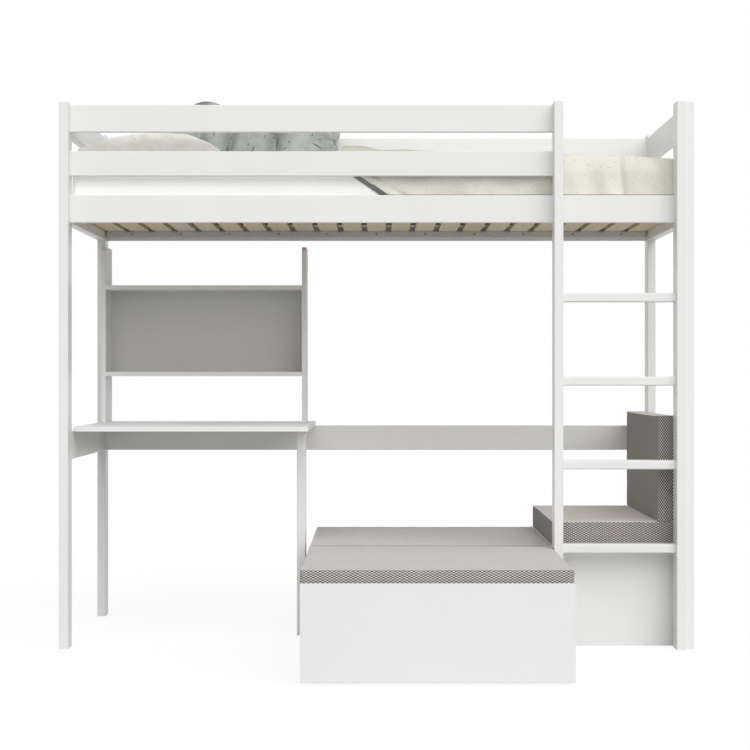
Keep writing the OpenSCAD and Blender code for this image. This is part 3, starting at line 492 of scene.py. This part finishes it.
def knitted(name, low, high, sheen=0.2, **values):
    """Stretch knit with fine ribs."""
    made, tree, shader = finish(name, high, 0.8, Sheen_Weight=sheen, Sheen_Roughness=0.5,
                                **values)
    rib = streaks(tree, *knit_rib)
    colour = add(tree, "Mix", {"data_type": "RGBA", 6: srgb(low), 7: srgb(high)}, (0, rib))
    tree.links.new(colour.outputs[2], shader.inputs["Base Color"])
    emboss(tree, shader, rib, knit_depth, 0.7)
    return made


# The border and its piping glow faintly: painted light that lifts the side out of the guard
# rails' shade.
border_knit_painted_glow = knitted("stretch_knit_border", "#fbfbfa", "#fefefd", Emission_Strength=0.14,
                      Emission_Color=(1, 1, 1, 1))
panel_knit = knitted("stretch_knit_panel", "#ebebea", "#f1f1f0")
nonslip_cloth = knitted("dotted_nonslip_cloth", "#141414", "#1b1b1b", sheen=0,
                        Specular_IOR_Level=0.0)
mattress = foam_piece("bed_mattress", "root", border_knit_painted_glow,
                      edge=0.014, corner=0.018, cell=0.035, piping=0.003,
                      swell=0.006, grow=head_fill)
mattress.data.materials.append(panel_knit)
mattress.data.materials.append(nonslip_cloth)
mattress.data.polygons.foreach_set("material_index", [
    1 if face.normal.z > panel_from else 2 if face.normal.z < -panel_from else 0
    for face in mattress.data.polygons])

# ---- Sofa cushions and the folding guest mattress ---------------------------------------
# Cut foam blocks in a chenille upholstery cloth: light yarn lozenges on a dark ground, each
# row half a step on from the next. Painted light sits in the colours: on top faces the ground
# is painted much lighter, a painted highlight from above, and on faces that look left ground
# and yarn are painted into one duller, darker tone, painted shade from the light on the right.
# Painted light: the ground on top faces, and the ground and yarn on left faces, differ from the
# front's colours.
ground, ground_painted_shade_left = "#2b2925", {"guest": "#7d7872", "seat": "#7d7872", "back": "#88847e"}
ground_painted_light_above = {"guest": "#b7b3b0", "seat": "#ece8e4", "back": "#c8c4c0"}
yarn_low, yarn_high, yarn_painted_shade_left = "#e9e4dd", "#f0ebe4", "#a5a09a"
lozenge_run = {"guest": 0.0138, "seat": 0.0142, "back": 0.0116}     # metres along a row
lozenge_row = {"guest": 0.0074, "seat": 0.0080, "back": 0.0082}     # to the next row but one
yarn_cover = {"guest": (0.14, 0.62), "seat": (0.18, 0.76), "back": (0.16, 0.84)}
front_share = {"guest": (0.11, 0.89), "seat": (0.11, 0.79), "back": (0, 1)}    # least, most
fuzz_size, fuzz_share = 0.003, 0.6         # loose pile breaks the lozenges' edges
yarn_patch, pile_depth = 0.12, 0.0009
facing = 0.7                               # a normal this long on an axis faces that way
guest_width = (0.004, 0, 0), (0.004, 0, 0)                  # the soft sides stand proud
as_solid = (0, 0, 0), (0, 0, 0)


def lozenge_cloth(name, cut, upright=False):
    """The cloth of one kind of cushion, its tops painted lighter and its left sides painted
    darker as light and shade; on the upright one the lozenges stand on end.
    """
    made, tree, shader = finish(name, "#9d9892", 0.88, Sheen_Weight=0.15,
                                Sheen_Roughness=0.6, Specular_IOR_Level=0.2)
    where = add(tree, "TexCoord", {})
    x, y, z = add(tree, "SeparateXYZ", {}, (0, where.outputs["Object"])).outputs
    nx, _, nz = add(tree, "SeparateXYZ", {}, (0, where.outputs["Normal"])).outputs
    either = [add(tree, "Math", {"operation": "ABSOLUTE"}, (0, n)).outputs[0]
              for n in (nx, nz)]
    side, level = [add(tree, "Math", {"operation": "GREATER_THAN", 1: facing},
                       (0, n)).outputs[0] for n in either]
    # Faces that look left take painted shade.
    left = add(tree, "Math", {"operation": "LESS_THAN", 1: -facing}, (0, nx)).outputs[0]
    along = add(tree, "Mix", {"data_type": "FLOAT"}, (0, side), (2, x), (3, y)).outputs[0]
    across = add(tree, "Mix", {"data_type": "FLOAT"}, (0, level), (2, z), (3, y)).outputs[0]
    if upright:
        along, across = across, along
    waves = []
    for value, pitch in ((along, lozenge_run[cut]), (across, lozenge_row[cut])):
        turn = add(tree, "Math", {"operation": "MULTIPLY", 1: 2 * math.pi / pitch},
                   (0, value))
        waves.append(add(tree, "Math", {"operation": "COSINE"}, (0, turn.outputs[0])))
    pile = add(tree, "Math", {"operation": "MULTIPLY"}, (0, waves[0].outputs[0]),
               (1, waves[1].outputs[0]))
    rough = add(tree, "Math", {"operation": "MULTIPLY_ADD", 1: fuzz_share},
                (0, streaks(tree, fuzz_size)), (2, pile.outputs[0]))
    least, most = yarn_cover[cut]
    yarn = add(tree, "MapRange", {"From Min": least, "From Max": most},
               ("Value", rough.outputs[0])).outputs[0]
    least, most = front_share[cut]
    shown = add(tree, "MapRange", {"To Min": least, "To Max": most}, ("Value", yarn))
    share = add(tree, "Mix", {"data_type": "FLOAT"}, (0, level), (2, shown.outputs[0]),
                (3, yarn))
    # Painted shade: on left faces a lighter ground and, below, a darker yarn make one dull dark
    # tone.
    upper = add(tree, "Mix", {"data_type": "RGBA", 6: srgb(ground),
                              7: srgb(ground_painted_shade_left[cut])}, (0, left))
    # Painted highlight: on top faces the ground is far lighter.
    dark = add(tree, "Mix", {"data_type": "RGBA", 7: srgb(ground_painted_light_above[cut])}, (0, level),
               (6, upper.outputs[2]))
    light = add(tree, "Mix", {"data_type": "RGBA", 7: srgb(yarn_painted_shade_left)}, (0, left),
                (6, mottled(tree, yarn_patch, yarn_low, yarn_high)))
    woven = add(tree, "Mix", {"data_type": "RGBA"}, (0, share.outputs[0]),
                (6, dark.outputs[2]), (7, light.outputs[2]))
    tree.links.new(woven.outputs[2], shader.inputs["Base Color"])
    emboss(tree, shader, yarn, pile_depth, 0.8)
    return made


guest_cloth = lozenge_cloth("chenille_lozenge_cloth", "guest")
seat_cloth = lozenge_cloth("chenille_lozenge_cloth_seat", "seat")
back_cloth = lozenge_cloth("chenille_lozenge_cloth_back", "back", upright=True)
for node, body, cloth, grow in (
        ("seat_cushion", "root", seat_cloth, as_solid),
        ("back_cushion", "root", back_cloth, as_solid),
        ("guest_mattress_rear", "root", guest_cloth, guest_width),
        ("guest_mattress_front", "folding_mattress", guest_cloth, guest_width)):
    foam_piece(node, body, cloth,
               edge=0.004, corner=0.012, cell=0.028, piping=0.0010,
               swell=0.003, grow=grow)

# ---- Fold stitches ----------------------------------------------------------------------
# The two guest mattresses share one cover, which folds at a row of thick yarn stitches.
# The row lies in the seam between them, on the part that stays.
stitch_step, stitch_len, stitch_r = 0.012, 0.008, 0.0012
end_gap, into_seam = 0.01, 0.0003
twist, twist_depth = 0.001, 0.0002         # the yarn's own twist
thread, tree, shader = finish("stitching_yarn", "#a8a39e", 0.9)
emboss(tree, shader, streaks(tree, twist), twist_depth)
fold_lo, fold_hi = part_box("guest_mattress_rear")
stitch_y, stitch_z = fold_lo.y - into_seam, fold_hi.z - stitch_r
stitches = bpy.data.curves.new("fold_stitches", "CURVE")
stitches.dimensions = "3D"
stitches.bevel_depth = stitch_r
for k in range(int((fold_hi.x - fold_lo.x - 2 * end_gap) / stitch_step)):
    start = fold_lo.x + end_gap + k * stitch_step
    run = stitches.splines.new("POLY")
    run.points.add(1)
    run.points.foreach_set("co", [start, stitch_y, stitch_z, 1,
                                  start + stitch_len, stitch_y, stitch_z, 1])
stitches.materials.append(thread)
stitched = bpy.data.objects.new("fold_stitches", stitches)
scene.collection.objects.link(stitched)
hold(stitched, "root")

# ---- Duvet ------------------------------------------------------------------------------
# A light duvet in washed cream cotton, printed with small dark dashes, lying loose. Its head
# end is turned back, and a grey strip painted along the turned edge stands in as the fold's
# shade. The front hangs down between the mattress and the bed rail.
duvet_print = 0.046, (0.008, 0.0032), "#85816f", 0.6        # pitch, dash, ink and strength
thread_size, thread_depth, fade_patch = 0.0022, 0.0006, 0.08    # 0.4 mm threads, drawn coarser
lift = 0.0003                              # metres between the duvet and what it lies on
foot_over = 0.024                          # the foot end bridges the gap to the end rail
hang, bend = 0.22, 0.34                    # shares of the rows that hang, and bend over
bend_r, drop_t, turned_w = 0.020, 0.012, 0.036              # bend, thickness, turned strip
turned_thin, foot_thin, foot_round = 0.12, 0.3, 0.02        # shares of drop_t, and a length
turned_creases = ((0.075, 0.014, -0.005), (0.040, 0.018, 0.004))    # place, half width, height
front_least, front_most = 0.002, 0.0165    # thickness of the hanging front
# how far across the turned strip the painted fold shade reaches
painted_fold_shade_share = 0.7                        # of the turned strip, as far as its grey shows
head_steps, even_steps, foot_steps, rows = 8, 140, 8, 97
head_part, foot_part = 0.028, 0.97         # finer mesh before the one and past the other
edge_s = (0.0, 0.186, 0.22, 0.34, 1.0)     # the head end's edge, from the hem to the rear
edge_x = (0.012, -0.078, -0.095, -0.120, -0.128)
# How thick the top is along the bed.
loft_x = (-0.128, -0.112, -0.05, 0.0, 0.145, 0.18, 0.26, 0.40, 0.55, 0.628, 0.74, 0.79, 0.84,
          0.945, 0.985, 1.004, 1.014)
loft_z = (0.030, 0.076, 0.072, 0.067, 0.061, 0.058, 0.046, 0.046, 0.050, 0.052, 0.049, 0.041,
          0.043, 0.037, 0.035, 0.031, 0.020)
top_least, rear_share = 0.006, 0.12        # least thickness; share that thins at the rear
wave_count = 9
lengthwise_height, lengthwise_pitch = 0.005, 0.27           # low folds along the bed
lengthwise_from, lengthwise_ramp = 0.1, 0.3
hang_waves = ((0.33, 1.1, 0.5, 0.0030), (0.17, -0.9, 2.2, 0.0022), (0.094, 0.7, 4.0, 0.0009))
valleys = ((-0.02, 0.10, 0.012, 0.040), (0.13, -0.16, 0.014, 0.050),
           (0.30, 0.12, 0.013, 0.045), (0.47, -0.08, 0.015, 0.055),
           (0.64, 0.15, 0.013, 0.045), (0.83, -0.12, 0.014, 0.050))   # X, slope, depth, width
valley_middle, valley_sway = 0.4, 0.02     # where a valley crosses its X, and its swing
sway_rate, sway_shift = 9, 20
valley_front, valley_rear = (0.10, 0.15), (0.80, 0.12)      # where valleys begin and end
entry = 0.640, 0.975                       # the ladder's entry, where no guard holds it back
entry_ramps, entry_bulge, entry_least, entry_slant = (0.05, 0.02), 0.006, -0.008, 0.12
entry_folds = ((0.700, 0.034, -0.007), (0.765, 0.026, 0.009), (0.812, 0.011, -0.012),
               (0.880, 0.040, 0.008), (0.962, 0.012, -0.010))    # X, half width and height
row_length = 1.1                           # metres of cloth from the hem to the rear
inner_shift = 0.07                         # metres that the cloth runs on under the head end


def cotton(name, low, high):
    """Washed plain-weave cotton; its creases are in the mesh."""
    made, tree, shader = finish(name, high, 0.82, Sheen_Weight=0.25, Sheen_Roughness=0.5,
                                Specular_IOR_Level=0.25)
    emboss(tree, shader, streaks(tree, thread_size), thread_depth, 0.6)
    return made, tree, shader, mottled(tree, fade_patch, low, high)


def dashes(tree, colour, pitch, size, ink, amount):
    """Printed dashes of that size, one in each cell of about that pitch, turned at random."""
    cloth = add(tree, "TexCoord", {}).outputs["UV"]
    cell = add(tree, "TexVoronoi", {"voronoi_dimensions": "2D", "Scale": 1 / pitch},
               ("Vector", cloth))
    offset = add(tree, "VectorMath", {"operation": "SUBTRACT"}, (0, cloth),
                 (1, cell.outputs["Position"]))
    chance = add(tree, "SeparateXYZ", {}, (0, cell.outputs["Color"])).outputs[0]
    angle = add(tree, "MapRange", {"To Max": 3.0}, ("Value", chance))
    turned = add(tree, "VectorRotate", {"rotation_type": "Z_AXIS"},
                 ("Vector", offset.outputs[0]), ("Angle", angle.outputs[0]))
    ring = add(tree, "VectorMath", {"operation": "MULTIPLY", 1: (2 / size[0], 2 / size[1], 0)},
               (0, turned.outputs[0]))
    away = add(tree, "VectorMath", {"operation": "LENGTH"}, (0, ring.outputs[0]))
    mark = add(tree, "MapRange", {"From Min": 1.2, "From Max": 0.8, "To Max": amount},
               ("Value", away.outputs["Value"]))
    return add(tree, "Mix", {"data_type": "RGBA", 7: srgb(ink)}, (0, mark.outputs[0]),
               (6, colour)).outputs[2]


def cloth_map(mesh, places):
    """Lays the cloth's own coordinates, in metres, on a mesh."""
    layer = mesh.uv_layers.new(name="cloth")
    corner = np.zeros(len(mesh.loops), dtype=np.int32)
    mesh.loops.foreach_get("vertex_index", corner)
    layer.data.foreach_set("uv", np.asarray(places, np.float32)[corner].ravel())


def smooth_step(t):
    """0 to 1 as t goes from 0 to 1, flat at both ends."""
    t = min(1.0, max(0.0, t))
    return t * t * (3 - 2 * t)


cream, tree, shader, base = cotton("washed_cotton_cream", "#e0ded1", "#e4e2d6")
tree.links.new(dashes(tree, base, *duvet_print), shader.inputs["Base Color"])
# Painted shade: grey cotton put on the turned strip of the hanging front, where the fold lies in
# shade.
painted_fold_shade, tree, shader, base = cotton("washed_cotton_painted_fold_shade", "#858581", "#8c8c88")
tree.links.new(base, shader.inputs["Base Color"])

lo, hi = (np.array(p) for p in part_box("duvet"))
hi[0] += foot_over
under_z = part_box("bed_mattress")[1].z + lift
front_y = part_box("bed_mattress")[0].y - lift
along = np.concatenate([np.linspace(0, head_part, head_steps)[:-1],
                        np.linspace(head_part, foot_part, even_steps),
                        np.linspace(foot_part, 1, foot_steps)[1:]])
across = np.linspace(0, 1, rows)
draw = np.random.default_rng(7)
waves = [(draw.uniform(0.12, 0.30), draw.uniform(-0.5, 0.5), draw.uniform(0, 2 * math.pi),
          draw.uniform(0.0006, 0.0016)) for _ in range(wave_count)]


def rippled(x, other, table):
    """The sum of waves of length, slope, start and height, across a slanted line."""
    return sum(h * math.sin(2 * math.pi * (x + k * other) / p + q) for p, k, q, h in table)


def top_loft(x, y, s):
    """How thick the duvet lies at a place on the mattress."""
    fold = rippled(x, y, waves)
    fold += lengthwise_height * smooth_step((y - lengthwise_from) / lengthwise_ramp) \
        * math.sin(2 * math.pi * y / lengthwise_pitch)
    dents = sum(h * math.exp(-((x - x0 - k * (y - valley_middle)
                                - valley_sway * math.sin(sway_rate * y + sway_shift * x0))
                               / w) ** 2)
                for x0, k, h, w in valleys)
    fold -= dents * smooth_step((y - valley_front[0]) / valley_front[1]) \
        * smooth_step((valley_rear[0] - y) / valley_rear[1])
    rear = smooth_step((1 - s) / rear_share)
    return max(top_least, (np.interp(x, loft_x, loft_z) + fold) * rear)


def front_loft(x, z, left):
    """How far the hanging front stands off the mattress."""
    turned = smooth_step((x - left) / turned_w)
    right = smooth_step((hi[0] - x) / foot_round)
    wrinkle = sum(h * math.exp(-((x - left - x0) / w) ** 2) for x0, w, h in turned_creases)
    free = smooth_step((x - entry[0]) / entry_ramps[0]) \
        * smooth_step((entry[1] - x) / entry_ramps[1])
    bulge = entry_bulge + sum(
        h * math.exp(-((x + entry_slant * (z - under_z) - x0) / w) ** 2)
        for x0, w, h in entry_folds)
    front = (drop_t + rippled(x, z, hang_waves) + wrinkle) \
        * (turned_thin + (1 - turned_thin) * turned) * (foot_thin + (1 - foot_thin) * right)
    return max(front_least, min(front, front_most)) + free * max(entry_least, bulge)


def duvet_points():
    """The outer and the inner layer's points, and their places on the cloth."""
    outer, inner, cloth = [], [], []
    bend_z = under_z - bend_r
    for u in along:
        for s in across:
            left = np.interp(s, edge_s, edge_x)
            x = left + u * (hi[0] - left)
            if s < hang:
                y, z = front_y, lo[2] + (bend_z - lo[2]) * s / hang
                ny, nz = -1.0, 0.0
            elif s < bend:
                a = math.pi / 2 * (s - hang) / (bend - hang)
                y, z = front_y + bend_r * (1 - math.cos(a)), bend_z + bend_r * math.sin(a)
                ny, nz = -math.cos(a), math.sin(a)
            else:
                y = front_y + bend_r + (hi[1] - front_y - bend_r) * (s - bend) / (1 - bend)
                z, ny, nz = under_z, 0.0, 1.0
            front = front_loft(x, z, left)
            thick = front + (top_loft(x, y, s) - front) * nz ** 1.5
            inner.append((x, y, z))
            outer.append((x, y + ny * front, z + nz * thick))
            cloth.append((x, s * row_length))
    return outer, inner, cloth


outer, inner, cloth = duvet_points()
columns, count = len(along), len(outer)
quads, slots = [], []
for i in range(columns - 1):
    for j in range(rows - 1):
        a, b, c, d = (i * rows + j, (i + 1) * rows + j, (i + 1) * rows + j + 1,
                      i * rows + j + 1)
        quads += [(a, b, c, d), (count + d, count + c, count + b, count + a)]
        # the hanging part of the turned strip takes the painted fold shade
        folded = outer[a][0] - np.interp(across[j], edge_s, edge_x) < turned_w * painted_fold_shade_share
        slots += [int(folded and across[j] < hang), 0]
rim = [i * rows for i in range(columns)] \
    + [(columns - 1) * rows + j for j in range(1, rows)] \
    + [i * rows + rows - 1 for i in range(columns - 2, -1, -1)] \
    + [j for j in range(rows - 2, 0, -1)]
for k, a in enumerate(rim):
    b = rim[(k + 1) % len(rim)]
    quads.append((b, a, count + a, count + b))
    slots.append(0)
duvet = smooth_piece("duvet_cover", outer + inner, quads)
cloth_map(duvet.data, cloth + [(x - inner_shift, y) for x, y in cloth])
duvet.data.materials.append(cream)
duvet.data.materials.append(painted_fold_shade)
duvet.data.polygons.foreach_set("material_index", slots)
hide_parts("duvet")
hold(duvet, "root")

# ---- Cream pillow -----------------------------------------------------------------------
# Two cream cotton panels sewn all round, filled with down and lying flat at the head end.
# Swelling the flat panels draws the edges in and leaves the four corners standing, with
# puckers along the seam.
cream_cut, cream_cell = (0.505, 0.48), 0.0125
cream_extra = 0.016, 0.016                 # the seam's corners stand out past the solid
cream_creases = ((-0.13, 0.75, 0.0, 0.006, 0.020), (0.10, -0.60, 0.0, 0.006, 0.022),
                 (-0.21, -0.35, 0.0, 0.005, 0.016))
seam_share, end_fullness = 0.38, 0.8       # its weight sets the seam low; down fills the ends
crown_from = 1.656                         # the seen outline above this height is set
crown_x = (-1.017, -0.980, -0.936, -0.900, -0.864, -0.775, -0.723, -0.656, -0.604, -0.570,
           -0.540, -0.512)
crown_z = (1.672, 1.696, 1.714, 1.7235, 1.7265, 1.7325, 1.7335, 1.733, 1.7225, 1.703, 1.680,
           1.660)
cream_print = 0.075, (0.008, 0.0032), "#8a8677", 0.7        # pitch, dash, ink and strength
seam_r, down_pressure, down_cap = 0.0016, 9.0, 0.25
panels_apart = 0.02                        # how far each flat panel's middle starts off
crease_room = 0.03                         # creases reach full depth this far above the seam
outline_parts, part_w, least_reach = 40, 0.02, 0.01


def pillow_skin(name, length, width, cell):
    """Two panels joined at their rim, just apart in the middle, and the rim's points."""
    nx, ny = round(length / cell), round(width / cell)
    points, number = [], {}
    for side in (1, -1):
        for i in range(nx + 1):
            for j in range(ny + 1):
                rim = i in (0, nx) or j in (0, ny)
                if rim and side < 0:
                    number[(side, i, j)] = number[(1, i, j)]
                    continue
                u, v = 2 * i / nx - 1, 2 * j / ny - 1
                number[(side, i, j)] = len(points)
                bulge = 0 if rim else panels_apart * (1 - u * u) * (1 - v * v)
                points.append((u * length / 2, v * width / 2, side * bulge))
    faces = []
    for side in (1, -1):
        for i in range(nx):
            for j in range(ny):
                quad = [number[(side, *k)] for k in ((i, j), (i + 1, j), (i + 1, j + 1),
                                                     (i, j + 1))]
                faces.append(quad if side > 0 else quad[::-1])
    rim = [number[(1, i, 0)] for i in range(nx)] + [number[(1, nx, j)] for j in range(ny)] \
        + [number[(1, i, ny)] for i in range(nx, 0, -1)] \
        + [number[(1, 0, j)] for j in range(ny, 0, -1)]
    made = smooth_piece(name, points, faces)
    cloth_map(made.data, [p[:2] for p in points])
    return made, rim


def plump(made, size):
    """Fills the pillow and brings it to size."""
    stuff(made, down_pressure, down_cap, frames=26, stiff=8.0, bend=0.1)
    co = spots(made)
    span = co.max(0) - co.min(0)
    place(made, (co - (co.max(0) + co.min(0)) / 2) * np.array(size) / span)


def crease(co, lines):
    """Presses creases into the upper panel: x, slope, curve, depth and width of each."""
    full = np.clip(co[:, 2] / crease_room, 0, 1)
    for x0, slope, curve, depth, width in lines:
        off = np.abs(co[:, 0] - x0 - slope * co[:, 1] + curve * co[:, 1] ** 2)
        co[:, 2] -= full * np.minimum(depth * np.exp(-off / width), co[:, 2] + crease_room)
    return co


def to_edge(co, along, across, start, wanted):
    """Stretches the part past start so that the outline seen along an axis is as wanted."""
    least = start + least_reach
    parts = np.linspace(co[:, along].min(), co[:, along].max(), outline_parts)
    near = np.digitize(co[:, along], parts)
    outline = np.array([co[near == k, across].max() if (near == k).any() else least
                        for k in range(len(parts) + 1)])
    centres = np.append(parts, parts[-1] + part_w) - part_w / 2
    edge = np.maximum(np.interp(co[:, along], centres, outline), least)
    past = np.clip(co[:, across] - start, 0, None)
    co[:, across] = np.minimum(co[:, across], start) \
        + np.minimum(past / (edge - start), 1) * (wanted - start)


pillow, rim = pillow_skin("pillow_cream_cover", *cream_cut, cream_cell)
lo, hi = (np.array(p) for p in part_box("pillow_cream"))
lo[0] -= cream_extra[0]
hi[0] += cream_extra[1]
plump(pillow, hi - lo)
co = crease(spots(pillow), cream_creases)
half = (hi[2] - lo[2]) / 2
co[:, 2] = np.where(co[:, 2] > 0, co[:, 2] * (1 - seam_share), co[:, 2] * seam_share) * 2 \
    - half + 2 * half * seam_share
reach = (hi - lo) / 2
for axis in (0, 1):
    part = np.abs(co[:, axis] / reach[axis]) ** end_fullness
    co[:, axis] = np.sign(co[:, axis]) * reach[axis] * part
co += (lo + hi) / 2
to_edge(co, 0, 2, crown_from, np.interp(co[:, 0], crown_x, crown_z))
place(pillow, co)
fine_cream, tree, shader, base = cotton("washed_cotton_cream_fine", "#f0ede3", "#fcfaf4")
tree.links.new(dashes(tree, base, *cream_print), shader.inputs["Base Color"])
pillow.data.materials.append(fine_cream)
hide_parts("pillow_cream")
hold(pillow, "root")
hold(sewn_line("pillow_cream_seam", spots(pillow)[rim], seam_r, fine_cream), "root")
smooth_once(pillow)

# ---- Grey-green pillow ------------------------------------------------------------------
# A longer pillow sewn and filled the same way, leaning on the back guard rail, so deep
# creases run down it and one corner stands up above the rails. Its washed sage cotton is
# printed with dark dashes and twigs and a few ochre spots.
sage_cut, sage_cell, sage_size = (0.805, 0.396), 0.0105, (0.76, 0.372, 0.13)
lean = math.radians(60)
sage_creases = ((-0.035, 0.10, 2.0, 0.085, 0.024), (0.130, -0.10, 3.0, 0.080, 0.022),
                (0.262, 0.45, 0.0, 0.016, 0.010), (-0.150, -0.15, -1.0, 0.070, 0.030),
                (0.335, 0.30, 2.0, 0.035, 0.009))    # x, slope, curve, depth and width
top_from, top_limit = 1.78, 1.906                    # the top edge, from here up to there
ear_x, ear_w, ear_top = -0.640, 0.070, 1.938         # the corner that stands up
end_from, end_x, end_wave = -0.26, -0.134, 0.012     # the right end and its puckers' depth
end_bottom, end_height, puckers = 1.62, 0.28, 3
sage_prints = ((0.060, (0.014, 0.0042), "#4a4f4b", 0.8),      # dashes
               (0.090, (0.036, 0.0048), "#434844", 0.85),     # twigs
               (0.300, (0.012, 0.008), "#a98a55", 0.8))       # ochre spots

pillow, rim = pillow_skin("pillow_sage_cover", *sage_cut, sage_cell)
plump(pillow, sage_size)
co = crease(spots(pillow), sage_creases)
tilt = np.array([[1, 0, 0], [0, math.cos(lean), -math.sin(lean)],
                 [0, math.sin(lean), math.cos(lean)]])
place(pillow, co @ tilt.T)
fill_box(pillow, "pillow_green")
co = spots(pillow)
to_edge(co, 0, 2, top_from,
        top_limit + (ear_top - top_limit) * np.exp(-((co[:, 0] - ear_x) / ear_w) ** 2))
up = np.clip((co[:, 2] - end_bottom) / end_height, 0, 1)
to_edge(co, 2, 0, end_from, end_x - end_wave * np.sin(up * puckers * math.pi) ** 2)
place(pillow, co)
sage, tree, shader, printed = cotton("washed_cotton_sage", "#919590", "#abafaa")
for kind in sage_prints:
    printed = dashes(tree, printed, *kind)
tree.links.new(printed, shader.inputs["Base Color"])
pillow.data.materials.append(sage)
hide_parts("pillow_green")
hold(pillow, "root")
hold(sewn_line("pillow_sage_seam", spots(pillow)[rim], seam_r, sage), "root")
smooth_once(pillow)
